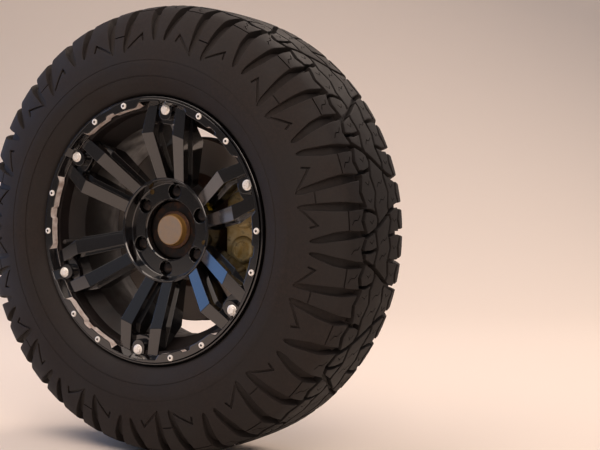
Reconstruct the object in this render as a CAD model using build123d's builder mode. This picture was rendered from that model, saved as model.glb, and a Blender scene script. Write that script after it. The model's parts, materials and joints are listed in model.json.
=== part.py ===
from build123d import *
from math import cos, radians, sin, tan
import os

# Front left wheel end of a lifted off-road 4x4, in millimetres
#
# Frame: X towards the rear of the vehicle, Y inboard along the axle, Z up.
# The origin is where the kingpin axis crosses the wheel axis.
# Depths are measured inboard from the front face of the bolted rim ring.
# Clock angles run clockwise from the top, seen from outside the vehicle

# Driving sizes: the layout along the axle
kingpin_depth = 223.0
kingpin_lean = 10.0
mount_face_depth = 91.0
tyre_centre_depth = 120.0

# Driving sizes: the bolt circles
stud_circle = 139.7
stud_radius = 6.0
pair_count = 6
first_pair_clock = 6.9
pair_pitch = 360.0 / pair_count
pair_clocks = [first_pair_clock + pair_pitch * k for k in range(pair_count)]

# Driving sizes: the rim
rim_lip_radius = 235.6
bead_seat_radius = 436.6 / 2
rim_half_width = 203.2 / 2
well_radius = 198.0
rim_wall = 5.5
rim_flats = 36
hub_flats = 24

# Driving sizes: the tyre
tread_radius = 402.0
tyre_half_width = 136.0

# Driving sizes: the bolted ring and the ledge that the spokes are bolted to
ring_outer_radius = 231.0
ring_land_radius = 215.5
ring_thickness = 15.3
ledge_depth = 18.0
ledge_radius = 222.0
centre_seat_radius = 213.0

# Driving sizes: the spokes and the hub pad
spoke_top_depth = 13.5
spoke_bolt_radius = 213.6
hub_collar_depth = 58.0
hub_collar_radius = 91.0
hub_pad_depth = 68.7
hub_pad_radius = 84.0
centre_bore_radius = 53.0
nut_pocket_radius = 13.5
nut_seat_depth = 84.0

# Driving sizes: the brake and the bearing
disc_radius = 169.0
disc_front_depth = 134.0
disc_thickness = 28.0
disc_back_depth = disc_front_depth + disc_thickness
hub_flange_front = 98.0
hub_flange_back = 110.0
spindle_radius = 24.0
drive_bore_radius = 15.0
bearing_radius = 48.0
bearing_bolt_radius = 57.0
bearing_bolt_clocks = [45, 135, 225, 315]

# Driving sizes: the knuckle
plate_front_depth = 176.0
plate_thickness = 22.0
plate_back_depth = plate_front_depth + plate_thickness
flange_seat_depth = 162.5
shield_seat_depth = 174.5
shield_depth = 168.5
ball_joint_radius = 10.0
upper_joint_reach = 150.0
lower_joint_reach = 140.0
joint_boss_length = 30.0
tie_rod_radius = 7.5

# Cutters start this far in front of the ring and overrun what they cut by this much
cutter_start = -1.0
overrun = 60.0


def y_at(depth):
    """Place along Y of a depth behind the ring's front face."""
    return depth - kingpin_depth


def clock_plane(depth, clock=0.0):
    """Plane facing outboard, its own y pointing away from the axle at that clock angle."""
    turn = radians(clock)
    return Plane(
        origin=(0, y_at(depth), 0),
        x_dir=(cos(turn), 0, -sin(turn)),
        z_dir=(0, -1, 0),
    )


def radial_plane(clock=0.0):
    """Plane through the axle: its x runs inboard, its y away from the axle at that clock angle."""
    turn = radians(clock)
    return Plane(
        origin=(0, 0, 0),
        x_dir=(0, 1, 0),
        z_dir=(cos(turn), 0, -sin(turn)),
    )


def section(rows):
    """Points of a half section from rows of depth and radius."""
    return [(y_at(depth), radius) for depth, radius in rows]


def clock_point(radius, clock):
    """Point in a clock_plane at that radius and clock angle."""
    return (radius * sin(radians(clock)), radius * cos(radians(clock)))


def mitred_length(rows, start, stop):
    """Straight length of a ring between two clock angles, mitred to its neighbours."""
    flat = cos(radians((stop - start) / 2))
    outline = make_face(Polyline(*section([(depth, r * flat) for depth, r in rows]), close=True))
    bar = extrude(radial_plane((start + stop) / 2) * outline, overrun, both=True)
    wedge = Polyline(
        (0, 0),
        clock_point(2 * tread_radius, start),
        clock_point(2 * tread_radius, stop),
        close=True,
    )
    block = extrude(clock_plane(tyre_centre_depth) * make_face(wedge), tread_radius, both=True)
    return bar & block


def flat_ring(rows, flats):
    """Closed ring of equal straight lengths with that half section."""
    step = 360 / flats
    length = mitred_length(rows, 0, step)
    return [length.rotate(Axis.Y, step * k) for k in range(flats)]


def save(builder, name):
    """Label the finished piece and write it under its own name."""
    builder.part.label = name
    export_step(builder.part, f"parts/{name}.step")


os.makedirs("parts", exist_ok=True)

# The tyre is made of straight mitred lengths, one to a lug, so its flats stay clear of the rim
bead_radius = bead_seat_radius + 1.2

# Tyre section: offset outboard of the centre plane, radius
tyre_outside = [
    (0, tread_radius),
    (60, 400),
    (99, 388.5),
    (120, 360),
    (134, 312),
    (tyre_half_width, 290),
    (117, 241),
    (101.3, 236),
    (101.3, bead_radius),
    (80, bead_radius),
]
tyre_inside = [
    (118, 300),
    (80, 377),
]
tyre_half = tyre_outside + tyre_inside
tyre_section = [(tyre_centre_depth - off, r) for off, r in tyre_half]
tyre_section += [(tyre_centre_depth + off, r) for off, r in tyre_half[:0:-1]]

# Tread pitches: degrees of short, medium and long ones, in the order they come round
pitch_degrees = {"S": 27.0, "M": 29.8, "L": 32.5}
pitch_order = "MMSLLMMSSLLM"
first_key_clock = 19.4

# Shoulder grooves of one pitch: place as a share of the pitch, radius of its tip, drift of the tip
shoulder_grooves = [
    (0.118, 313.0, -1.3),
    (0.370, 331.0, 2.0),
    (0.630, 331.0, -2.0),
    (0.882, 313.0, 1.3),
]
groove_mouth = 18.0
groove_tip = 5.0
groove_floor = [(60, 388), (100, 371), (134.5, 311)]
tread_reach = 430.0

# Crown slots of one pitch: place as a share of the pitch, slant
crown_slots = [(0.25, 28.0), (0.75, -28.0)]
crown_slot_width = 9.0
crown_slot_length = 104.0
crown_floor = 390.0

groove_rows = []
crown_rows = []
clock = first_key_clock
for letter in pitch_order:
    for share, tip_radius, drift in shoulder_grooves:
        groove_rows.append((clock + share * pitch_degrees[letter], tip_radius, drift))
    for share, slant in crown_slots:
        crown_rows.append((clock + share * pitch_degrees[letter], slant))
    clock += pitch_degrees[letter]


def crown_cutter(slant):
    """Slot across the middle of the tread at twelve o'clock, turned by that angle."""
    face = Plane(origin=(0, y_at(tyre_centre_depth), crown_floor), x_dir=(1, 0, 0), z_dir=(0, 0, 1))
    return extrude(face * Rectangle(crown_slot_width, crown_slot_length, rotation=slant), overrun)


def groove_cutter(tip_radius, drift):
    """Tapered cutter for one shoulder groove on the outboard side, at twelve o'clock."""
    lean = tan(radians(drift)) * tip_radius
    plan = Polyline(
        (-groove_mouth / 2, tread_reach),
        (groove_mouth / 2, tread_reach),
        (lean + groove_tip / 2, tip_radius),
        (lean - groove_tip / 2, tip_radius),
        close=True,
    )
    column = extrude(clock_plane(-overrun) * make_face(plan), -(overrun + tyre_centre_depth))
    floor_rows = [(tyre_centre_depth - off, r) for off, r in groove_floor]
    inner_depth = floor_rows[0][0]
    tip = floor_rows[-1][1]
    floor_rows += [(-overrun, tip), (-overrun, tread_reach), (inner_depth, tread_reach)]
    side = make_face(Polyline(*section(floor_rows), close=True))
    return column & extrude(radial_plane() * side, overrun, both=True)


groove_clocks = [clock for clock, tip_radius, drift in groove_rows]
segments = [
    mitred_length(tyre_section, start, stop)
    for start, stop in zip(groove_clocks, groove_clocks[1:] + [groove_clocks[0] + 360])
]
centre_plane = Plane.XZ.offset(-y_at(tyre_centre_depth))
cutters = []
for clock, tip_radius, drift in groove_rows:
    cutter = groove_cutter(tip_radius, drift).rotate(Axis.Y, clock)
    cutters += [cutter, cutter.mirror(centre_plane)]
for clock, slant in crown_rows:
    cutters.append(crown_cutter(slant).rotate(Axis.Y, clock))

with BuildPart() as tyre:
    add(segments)
    add(cutters, mode=Mode.SUBTRACT)
save(tyre, "tyre")

# Rim barrel section, from the outboard lip over the tyre side to the inboard lip and back
rim_front = 3.0
ring_seat_depth = 6.0
flange_face = tyre_centre_depth - rim_half_width
inner_flange_face = tyre_centre_depth + rim_half_width
rim_section = [
    (rim_front, ring_outer_radius + 0.4),
    (rim_front, rim_lip_radius),
    (flange_face - 9, rim_lip_radius),
    (flange_face, 229),
    (flange_face, bead_seat_radius),
    (44, bead_seat_radius),
    (68, well_radius),
    (138, well_radius),
    (186, bead_seat_radius),
    (inner_flange_face, bead_seat_radius),
    (inner_flange_face, 229),
    (inner_flange_face + 12, rim_lip_radius),
    (inner_flange_face + 12, 229),
    (inner_flange_face + 5, bead_seat_radius - rim_wall),
    (184, bead_seat_radius - rim_wall),
    (140, well_radius - rim_wall),
    (66, well_radius - rim_wall),
    (42, centre_seat_radius),
    (ledge_depth, centre_seat_radius),
    (ledge_depth, ledge_radius),
    (ring_seat_depth, 227.2),
    (ring_seat_depth, ring_outer_radius + 0.4),
]

rim_barrel_lengths = flat_ring(rim_section, rim_flats)
with BuildPart() as rim_barrel:
    add(rim_barrel_lengths)
save(rim_barrel, "rim_barrel")

# Bolted ring: a hoop round the rim, with a deeper land between neighbouring spoke pairs
ring_section = [
    (0, ring_land_radius),
    (0, ring_outer_radius),
    (ring_seat_depth, ring_outer_radius),
    (ring_seat_depth, 226.9),
    (ring_thickness, ledge_radius + 0.7),
    (ring_thickness, ring_land_radius),
]
recess_edge = [
    (-14, 223.5),
    (14, 223.5),
    (40, 220),
    (53, 205),
    (53, 190),
    (-53, 190),
    (-53, 205),
    (-40, 220),
]
bolt_notch = [(-8.5, 229), (8.5, 229), (8.5, 210), (-8.5, 210)]
land_notch = [(-13, 205), (13, 205), (13, 216.5), (9, 221.5), (-9, 221.5), (-13, 216.5)]

clamp_ring_lengths = flat_ring(ring_section, rim_flats)
with BuildPart() as clamp_ring:
    add(clamp_ring_lengths)
    for clock in pair_clocks:
        with BuildSketch(clock_plane(cutter_start, clock)):
            Polygon(*recess_edge, align=None)
            Polygon(*bolt_notch, align=None)
        extrude(amount=-overrun, mode=Mode.SUBTRACT)
        with BuildSketch(clock_plane(cutter_start, clock + pair_pitch / 2)):
            Polygon(*land_notch, align=None)
        extrude(amount=-overrun, mode=Mode.SUBTRACT)
save(clamp_ring, "clamp_ring")

# Hub pad with its raised collar, a pocket for each nut and a hole for each stud
pad_outer_radius = hub_collar_radius + 2
hub_section = [
    (mount_face_depth, centre_bore_radius),
    (hub_pad_depth, centre_bore_radius),
    (hub_pad_depth, hub_pad_radius),
    (hub_collar_depth, hub_pad_radius + 1.5),
    (hub_collar_depth, pad_outer_radius),
    (mount_face_depth, pad_outer_radius),
]
stud_hole_radius = 7.5
hole_sides = 8
pocket_sides = 16
hub_lengths = flat_ring(hub_section, hub_flats)
with BuildPart() as hub_pad:
    add(hub_lengths)
    with BuildSketch(clock_plane(hub_pad_depth, first_pair_clock)):
        with PolarLocations(stud_circle / 2, pair_count, start_angle=90):
            RegularPolygon(nut_pocket_radius, pocket_sides)
    extrude(amount=-(nut_seat_depth - hub_pad_depth), mode=Mode.SUBTRACT)
    with BuildSketch(clock_plane(hub_pad_depth, first_pair_clock)):
        with PolarLocations(stud_circle / 2, pair_count, start_angle=90):
            RegularPolygon(stud_hole_radius, hole_sides)
    extrude(amount=-overrun, mode=Mode.SUBTRACT)
save(hub_pad, "hub_pad")

# One spoke of a twin pair, with its pair axis upright: x across, y away from the axle
spoke_plan = [(19.5, 211), (41, 208), (45, 166.5), (29.5, 84), (7.5, 84), (20.5, 171.5)]
ledge_plan = [(19.5, 211), (41, 208), (50.5, 165.5), (33.5, 84), (3, 84), (15.5, 172.5)]
seat_plan = [(19.5, 205), (19.5, 216), (41, 213), (41, 205)]
spoke_lean = 11.5
spoke_crest_reach = 172.1
spoke_face = [(spoke_top_depth, 240), (spoke_top_depth, spoke_crest_reach), (59, 94.7), (66, 70)]
spoke_back = [(mount_face_depth, 70), (88, 100), (68, 172), (44, 204), (41, 207), (41, 240)]
ledge_drop = 20.0
ledge_face = [(depth + ledge_drop, reach) for depth, reach in spoke_face[:3]] + [(88, 70)]
seat_thickness = ledge_depth - spoke_top_depth


def plan_block(plan, top_depth, thickness):
    """Block with that plan, its outboard face at that depth."""
    return extrude(clock_plane(top_depth) * make_face(Polyline(*plan, close=True)), -thickness)


def spoke_bar(plan, face_rows):
    """Bar with that plan, cut to the side view of its face rows and the common back."""
    outline = make_face(Polyline(*section(face_rows + spoke_back), close=True))
    side = extrude(radial_plane(spoke_lean) * outline, overrun, both=True)
    return plan_block(plan, 0, mount_face_depth) & side


spoke = spoke_bar(spoke_plan, spoke_face) + spoke_bar(ledge_plan, ledge_face)
spoke += plan_block(seat_plan, spoke_top_depth, seat_thickness)
spoke_pair = [spoke, spoke.mirror(Plane.YZ)]
with BuildPart() as spokes:
    for clock in pair_clocks:
        add([half.rotate(Axis.Y, clock) for half in spoke_pair])
    with BuildSketch(clock_plane(0)):
        RegularPolygon(pad_outer_radius, hub_flats)
    extrude(amount=-(mount_face_depth + overrun), mode=Mode.SUBTRACT)
save(spokes, "spokes")

# Boss under each big bolt, and the web that joins it to its two spokes
boss_front = [(-13.5, 219.5), (13.5, 219.5), (13.5, 207), (7, 200), (-7, 200), (-13.5, 207)]
boss_body = [(-13.5, 211.5), (13.5, 211.5), (13.5, 207), (7, 200), (-7, 200), (-13.5, 207)]
web_plan = [(-19.5, 196), (19.5, 196), (19.5, 211), (-19.5, 211)]
boss_length = 16.0
web_depth = 25.0
web_thickness = 9.0
with BuildPart() as bolt_bosses:
    for clock in pair_clocks:
        with BuildSketch(clock_plane(spoke_top_depth, clock)):
            Polygon(*boss_front, align=None)
        extrude(amount=-seat_thickness)
        with BuildSketch(clock_plane(ledge_depth, clock)):
            Polygon(*boss_body, align=None)
        extrude(amount=-boss_length)
        with BuildSketch(clock_plane(web_depth, clock)):
            Polygon(*web_plan, align=None)
        extrude(amount=-web_thickness)
    add(spokes.part, mode=Mode.SUBTRACT)
save(bolt_bosses, "bolt_bosses")

# Big flange bolts that hold the spokes to the rim
bolt_flange_radius = 9.3
bolt_flange_sides = 10
bolt_flange_height = 1.6
bolt_hexagon_inradius = 7.5
bolt_head_height = 5.2
with BuildPart() as spoke_bolts:
    for clock in pair_clocks:
        with BuildSketch(clock_plane(spoke_top_depth, clock)):
            with Locations((0, spoke_bolt_radius)):
                RegularPolygon(bolt_flange_radius, bolt_flange_sides)
        extrude(amount=bolt_flange_height)
        with BuildSketch(clock_plane(spoke_top_depth, clock)):
            with Locations((0, spoke_bolt_radius)):
                RegularPolygon(bolt_hexagon_inradius, 6, major_radius=False)
        extrude(amount=bolt_head_height)
save(spoke_bolts, "spoke_bolts")

# Closed wheel nuts, in the pockets of the hub pad
nut_top_depth = 73.5
nut_hexagon_inradius = 9.5
thread_gap = 0.4
stud_end_depth = 77.0
with BuildPart() as wheel_nuts:
    for clock in pair_clocks:
        with BuildSketch(clock_plane(nut_seat_depth, clock)):
            with Locations((0, stud_circle / 2)):
                RegularPolygon(nut_hexagon_inradius, 6, major_radius=False)
        extrude(amount=nut_seat_depth - nut_top_depth)
        with BuildSketch(clock_plane(nut_seat_depth, clock)):
            with Locations((0, stud_circle / 2)):
                RegularPolygon(stud_radius + thread_gap, hole_sides)
        extrude(amount=nut_seat_depth - stud_end_depth, mode=Mode.SUBTRACT)
save(wheel_nuts, "wheel_nuts")

# Valve stem, standing on the barrel's front wall
valve_clock = 262.0
valve_radius = 203.0
valve_front_depth = 16.0
valve_neck_radius = 4.0
valve_neck_length = 16.0
valve_body_radius = 6.5
valve_body_length = 20.0
valve_sides = 8
with BuildPart() as valve_stem:
    with BuildSketch(clock_plane(valve_front_depth, valve_clock)):
        with Locations((0, valve_radius)):
            RegularPolygon(valve_neck_radius, valve_sides)
    extrude(amount=-valve_neck_length)
    with BuildSketch(clock_plane(valve_front_depth + valve_neck_length, valve_clock)):
        with Locations((0, valve_radius)):
            RegularPolygon(valve_body_radius, valve_sides)
    extrude(amount=-valve_body_length)
    add(rim_barrel.part, mode=Mode.SUBTRACT)
save(valve_stem, "valve_stem")

# Hub: pilot, flange, studs and spindle in one piece, open at its inner end for the drive shaft
cap_skirt_radius = 25.8
cap_seat_depth = 84.0
cap_recess_depth = 108.0
pilot_gap = 0.4
hub_rows = [
    (cap_seat_depth, cap_skirt_radius + pilot_gap),
    (cap_seat_depth, centre_bore_radius - pilot_gap),
    (hub_flange_front, centre_bore_radius - pilot_gap),
    (hub_flange_front, 78),
    (hub_flange_back, 78),
    (118, 34),
    (118, drive_bore_radius + 4),
    (cap_recess_depth, drive_bore_radius + 4),
    (cap_recess_depth, cap_skirt_radius + pilot_gap),
]
spindle_length = plate_back_depth - cap_recess_depth
flange_lengths = flat_ring(hub_rows, hub_flats)
with BuildPart() as wheel_hub:
    add(flange_lengths)
    with BuildSketch(clock_plane(cap_recess_depth)):
        Circle(spindle_radius)
    extrude(amount=-spindle_length)
    with BuildSketch(clock_plane(cap_recess_depth)):
        Circle(drive_bore_radius)
    extrude(amount=-spindle_length, mode=Mode.SUBTRACT)
    for clock in pair_clocks:
        with BuildSketch(clock_plane(hub_flange_front, clock)):
            with Locations((0, stud_circle / 2)):
                RegularPolygon(stud_radius, hole_sides)
        extrude(amount=hub_flange_front - stud_end_depth)
save(wheel_hub, "wheel_hub")

# Centre cap with a brim, pressed into the hub
cap_radius = 28.0
cap_brim_radius = 34.5
cap_front_depth = 67.0
cap_brim_depth = 80.0
cap_skirt_length = 9.0
cap_sides = 24
with BuildPart() as hub_cap:
    with BuildSketch(clock_plane(cap_front_depth)):
        RegularPolygon(cap_radius, cap_sides)
    extrude(amount=-(cap_seat_depth - cap_front_depth))
    with BuildSketch(clock_plane(cap_brim_depth)):
        RegularPolygon(cap_brim_radius, cap_sides)
    extrude(amount=-(cap_seat_depth - cap_brim_depth))
    with BuildSketch(clock_plane(cap_seat_depth)):
        RegularPolygon(cap_skirt_radius, cap_sides)
    extrude(amount=-cap_skirt_length)
save(hub_cap, "hub_cap")

# Brake disc: hat over the hub flange, friction ring behind it
hat_radius = 87.0
hat_wall = 7.0
ring_inner_radius = 98.0
outer_plate_thickness = 12.0
disc_bore_radius = centre_bore_radius + 0.6
disc_rows = [
    (mount_face_depth, disc_bore_radius),
    (mount_face_depth, hat_radius),
    (disc_front_depth, hat_radius),
    (disc_front_depth, disc_radius),
    (disc_back_depth, disc_radius),
    (disc_back_depth, ring_inner_radius),
    (disc_front_depth + outer_plate_thickness, ring_inner_radius),
    (disc_front_depth + outer_plate_thickness, hat_radius - hat_wall),
    (hub_flange_front, hat_radius - hat_wall),
    (hub_flange_front, disc_bore_radius),
]
brake_disc_lengths = flat_ring(disc_rows, rim_flats)
with BuildPart() as brake_disc:
    add(brake_disc_lengths)
    for clock in pair_clocks:
        with BuildSketch(clock_plane(mount_face_depth, clock)):
            with Locations((0, stud_circle / 2)):
                RegularPolygon(stud_hole_radius, hole_sides)
        extrude(amount=-overrun, mode=Mode.SUBTRACT)
save(brake_disc, "brake_disc")

# Bearing housing, bolted to the front of the knuckle
running_gap = 0.3
spindle_gap = 0.1
housing_front_depth = 120.0
housing_back_depth = plate_back_depth - 1
housing_flange_radius = 66.0
sleeve_radius = spindle_radius + 8
housing_rows = [
    (housing_front_depth, spindle_radius + 6),
    (housing_front_depth, bearing_radius - 4),
    (flange_seat_depth, bearing_radius - 4),
    (flange_seat_depth, housing_flange_radius),
    (shield_seat_depth, housing_flange_radius),
    (shield_seat_depth, bearing_radius),
    (housing_back_depth, bearing_radius),
    (housing_back_depth, spindle_radius + 6),
]
housing_lengths = flat_ring(housing_rows, hub_flats)
with BuildPart() as bearing_housing:
    add(housing_lengths)
    with BuildSketch(clock_plane(housing_front_depth)):
        Circle(sleeve_radius)
        Circle(spindle_radius + spindle_gap, mode=Mode.SUBTRACT)
    extrude(amount=-(housing_back_depth - housing_front_depth))
save(bearing_housing, "bearing_housing")

# Dust shield, cut away for the caliper
shield_thickness = 1.5
shield_radius = 172.0
shield_bore_radius = bearing_radius + 0.6
shield_rows = [
    (shield_seat_depth, shield_bore_radius),
    (shield_seat_depth, 71),
    (shield_depth, 79),
    (shield_depth, shield_radius),
    (shield_depth + shield_thickness, shield_radius),
    (shield_depth + shield_thickness, 80),
    (plate_front_depth, 72),
    (plate_front_depth, shield_bore_radius),
]
shield_gap = [(70, 50), (230, 158), (230, -158), (70, -50)]
dust_shield_lengths = flat_ring(shield_rows, rim_flats)
with BuildPart() as dust_shield:
    add(dust_shield_lengths)
    with BuildSketch(clock_plane(disc_front_depth)):
        Polygon(*shield_gap, align=None)
    extrude(amount=-overrun, mode=Mode.SUBTRACT)
save(dust_shield, "dust_shield")

# Fixed caliper over the rear of the disc: x runs down, y away from the axle
caliper_front_depth = 98.0
caliper_back_depth = 206.0
pad_thickness = 12.3
pad_outer_depth = disc_front_depth - running_gap - pad_thickness
pad_inner_depth = disc_back_depth + running_gap + pad_thickness
lug_x = 54.0
lug_reach = 96.0
lug_front_depth = 188.0
lug_back_depth = 203.0
front_foot = 100.0
back_foot = 128.0
piston_spread = 31.0
piston_reach = 137.0
piston_boss_radius = 25.0
piston_boss_height = 6.0
piston_boss_sides = 12


def caliper_outline(foot):
    """Outline of one half of the caliper, its inner edge at that distance from the axle."""
    return [
        (-70, foot + 14),
        (-56, foot),
        (56, foot),
        (70, foot + 14),
        (78, 168),
        (62, 175.2),
        (34, 182.8),
        (-34, 182.8),
        (-62, 175.2),
        (-78, 168),
    ]


bridge_arm = [(32, 172.8), (32, 183), (62, 175.2), (78, 168), (72, 160)]
lug_outline = [(40, 132), (40, 92), (48, 82), (60, 82), (68, 92), (68, 146)]
with BuildPart() as brake_caliper:
    with BuildSketch(clock_plane(caliper_front_depth, 90)):
        Polygon(*caliper_outline(front_foot), align=None)
    extrude(amount=-(pad_outer_depth - caliper_front_depth))
    with BuildSketch(clock_plane(pad_inner_depth, 90)):
        Polygon(*caliper_outline(back_foot), align=None)
    extrude(amount=-(caliper_back_depth - pad_inner_depth))
    for side in (-1, 1):
        with BuildSketch(clock_plane(pad_outer_depth, 90)):
            Polygon(*[(side * x, y) for x, y in bridge_arm], align=None)
        extrude(amount=-(pad_inner_depth - pad_outer_depth))
        with BuildSketch(clock_plane(caliper_front_depth, 90)):
            with Locations((side * piston_spread, piston_reach)):
                RegularPolygon(piston_boss_radius, piston_boss_sides)
        extrude(amount=piston_boss_height)
        with BuildSketch(clock_plane(lug_front_depth, 90)):
            Polygon(*[(side * x, y) for x, y in lug_outline], align=None)
        extrude(amount=-(lug_back_depth - lug_front_depth))
save(brake_caliper, "brake_caliper")

pad_plan = [(-52, 116), (52, 116), (57, 154), (30, 164), (-30, 164), (-57, 154)]
with BuildPart() as brake_pads:
    for front in (pad_outer_depth, disc_back_depth + running_gap):
        with BuildSketch(clock_plane(front, 90)):
            Polygon(*pad_plan, align=None)
        extrude(amount=-pad_thickness)
save(brake_pads, "brake_pads")

# Hexagon heads on the back of the knuckle: two hold the caliper, four hold the bearing housing
caliper_bolt_inradius = 9.0
caliper_bolt_height = 8.0
bearing_bolt_inradius = 8.0
bearing_bolt_height = 7.0
with BuildPart() as knuckle_bolts:
    for side in (-1, 1):
        with BuildSketch(clock_plane(lug_back_depth, 90)):
            with Locations((side * lug_x, lug_reach)):
                RegularPolygon(caliper_bolt_inradius, 6, major_radius=False)
        extrude(amount=-caliper_bolt_height)
    for clock in bearing_bolt_clocks:
        with BuildSketch(clock_plane(plate_back_depth, clock)):
            with Locations((0, bearing_bolt_radius)):
                RegularPolygon(bearing_bolt_inradius, 6, major_radius=False)
        extrude(amount=-bearing_bolt_height)
save(knuckle_bolts, "knuckle_bolts")

# Knuckle: plate round the bearing, two ball joint bosses on the leaning kingpin axis, a steering arm
kingpin_direction = (0, sin(radians(kingpin_lean)), cos(radians(kingpin_lean)))


def kingpin_plane(reach):
    """Plane square to the kingpin axis at that distance above the wheel axis."""
    place = tuple(reach * part for part in kingpin_direction)
    return Plane(origin=place, x_dir=(1, 0, 0), z_dir=kingpin_direction)


plate_outline = [
    (-22, 92),
    (22, 92),
    (48, 68),
    (72, 36),
    (80, 0),
    (76, -36),
    (50, -72),
    (24, -98),
    (-24, -98),
    (-50, -72),
    (-76, -36),
    (-82, 4),
    (-66, 48),
]
ear_outline = [
    (60, -70),
    (104, -70),
    (112, -62),
    (112, -46),
    (104, -39),
    (72, -34),
    (72, 34),
    (104, 39),
    (112, 46),
    (112, 62),
    (104, 70),
    (60, 70),
    (40, 40),
    (40, -40),
]
upper_arm_side = [(-47, 60), (-25, 60), (-25, 88), (6, 128), (12, 160), (0, 164), (-14, 150), (-47, 100)]
lower_arm_side = [(-47, -60), (-25, -60), (-30, -95), (-34, -122), (-34, -150), (-47, -142)]
steering_arm_top = [(-60, -47), (-60, -25), (-112, -12), (-150, 6), (-160, -18), (-120, -36), (-84, -47)]
tie_rod_place = (-150, -8)
tie_rod_height = -28.0
tie_rod_boss_radius = 17.0
tie_rod_boss_half_height = 13.0
steering_arm_half_height = 11.0
joint_arm_half_width = 21.0
upper_boss_radius = 22.0
lower_boss_radius = 24.0
joint_sides = 16

with BuildPart() as knuckle:
    with BuildSketch(clock_plane(plate_front_depth)):
        Polygon(*plate_outline, align=None)
    extrude(amount=-plate_thickness)
    with BuildSketch(clock_plane(plate_front_depth)):
        Polygon(*ear_outline, align=None)
    extrude(amount=-(lug_front_depth - plate_front_depth))
    with BuildSketch(Plane.YZ):
        Polygon(*upper_arm_side, align=None)
        Polygon(*lower_arm_side, align=None)
    extrude(amount=joint_arm_half_width, both=True)
    with BuildSketch(Plane.XY.offset(tie_rod_height)):
        Polygon(*steering_arm_top, align=None)
    extrude(amount=steering_arm_half_height, both=True)
    with BuildSketch(Plane.XY.offset(tie_rod_height)):
        with Locations(tie_rod_place):
            RegularPolygon(tie_rod_boss_radius, joint_sides)
    extrude(amount=tie_rod_boss_half_height, both=True)
    with BuildSketch(kingpin_plane(upper_joint_reach)):
        RegularPolygon(upper_boss_radius, joint_sides)
    extrude(amount=joint_boss_length / 2, both=True)
    with BuildSketch(kingpin_plane(-lower_joint_reach)):
        RegularPolygon(lower_boss_radius, joint_sides)
    extrude(amount=joint_boss_length / 2, both=True)
    with BuildSketch(kingpin_plane(0)):
        Circle(ball_joint_radius)
    extrude(amount=upper_joint_reach + overrun, both=True, mode=Mode.SUBTRACT)
    with BuildSketch(Plane.XY.offset(tie_rod_height)):
        with Locations(tie_rod_place):
            Circle(tie_rod_radius)
    extrude(amount=overrun, both=True, mode=Mode.SUBTRACT)
    with BuildSketch(clock_plane(plate_front_depth)):
        RegularPolygon(bearing_radius + running_gap, hub_flats)
    extrude(amount=-overrun, mode=Mode.SUBTRACT)
save(knuckle, "knuckle")
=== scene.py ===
import json
import math

import bmesh
import bpy
from bpy.props import FloatProperty, FloatVectorProperty, IntProperty, PointerProperty
from mathutils import Matrix, Vector

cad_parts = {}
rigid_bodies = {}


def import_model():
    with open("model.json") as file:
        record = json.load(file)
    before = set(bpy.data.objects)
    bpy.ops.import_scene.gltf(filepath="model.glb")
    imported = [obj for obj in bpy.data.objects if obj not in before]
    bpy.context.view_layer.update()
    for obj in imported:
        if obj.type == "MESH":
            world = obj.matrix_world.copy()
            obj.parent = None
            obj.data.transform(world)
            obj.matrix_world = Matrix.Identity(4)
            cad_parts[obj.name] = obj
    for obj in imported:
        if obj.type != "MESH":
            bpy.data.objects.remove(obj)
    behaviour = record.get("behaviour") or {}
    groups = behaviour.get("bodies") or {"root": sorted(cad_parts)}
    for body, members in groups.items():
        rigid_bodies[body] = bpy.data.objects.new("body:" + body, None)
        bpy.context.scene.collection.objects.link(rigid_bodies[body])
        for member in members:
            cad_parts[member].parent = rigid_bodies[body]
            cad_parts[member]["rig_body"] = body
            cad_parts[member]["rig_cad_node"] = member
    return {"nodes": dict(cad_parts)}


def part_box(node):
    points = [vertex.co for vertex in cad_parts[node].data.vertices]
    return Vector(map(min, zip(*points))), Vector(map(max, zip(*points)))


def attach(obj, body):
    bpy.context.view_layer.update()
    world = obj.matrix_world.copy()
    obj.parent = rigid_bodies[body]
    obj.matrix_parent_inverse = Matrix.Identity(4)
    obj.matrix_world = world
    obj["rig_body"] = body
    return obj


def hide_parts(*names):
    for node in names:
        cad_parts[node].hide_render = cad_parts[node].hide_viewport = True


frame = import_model()

bl_info = {
    "name": "Off-road wheel end",
    "version": (1, 0, 0),
    "blender": (4, 5, 0),
    "location": "3D View > Sidebar > Wheel end",
    "description": "Dresses the front wheel end of a lifted off-road 4x4: tyre, wheel, brake and knuckle",
    "category": "Object",
}

# Places. X runs to the rear, Y inboard along the axle, Z up, and the axle passes through the origin.
# Tables give depths in millimetres inboard from the front face of the bolted ring, and radii from the axle.
# Clock angles run clockwise from the top, seen from outside the vehicle
MM = 0.001
RING_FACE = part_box("clamp_ring")[0].y
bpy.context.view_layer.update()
PAIR_COUNT = 6
FIRST_PAIR_CLOCK = 6.9
PAIR_PITCH = 360 / PAIR_COUNT
PAIR_CLOCKS = [FIRST_PAIR_CLOCK + PAIR_PITCH * k for k in range(PAIR_COUNT)]
STUD_REACH = 139.7 / 2
TYRE_CENTRE = 120.0
WELD = 0.01 * MM


def axle_reach(place):
    """Distance of a place from the axle, in millimetres."""
    return math.hypot(place.x, place.z) / MM


def y_at(depth):
    """Place along the axle of a depth in millimetres."""
    return RING_FACE + depth * MM


def at_clock(clock, radius, depth):
    """Point at a clock angle, radius and depth."""
    angle = math.radians(clock)
    return Vector((radius * MM * math.sin(angle), y_at(depth), radius * MM * math.cos(angle)))


def upright(across, reach, depth):
    """Point of a spoke pair whose axis stands upright."""
    return Vector((across * MM, y_at(depth), reach * MM))


def rearward(down, reach, depth):
    """Point of a piece that stands out behind the axle."""
    return Vector((reach * MM, y_at(depth), -down * MM))


def hex_colour(code):
    """Linear colour with full alpha from an sRGB hex code."""
    parts = [int(code[i:i + 2], 16) / 255 for i in (1, 3, 5)]
    return [c / 12.92 if c <= 0.04045 else ((c + 0.055) / 1.055) ** 2.4 for c in parts] + [1.0]


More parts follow.
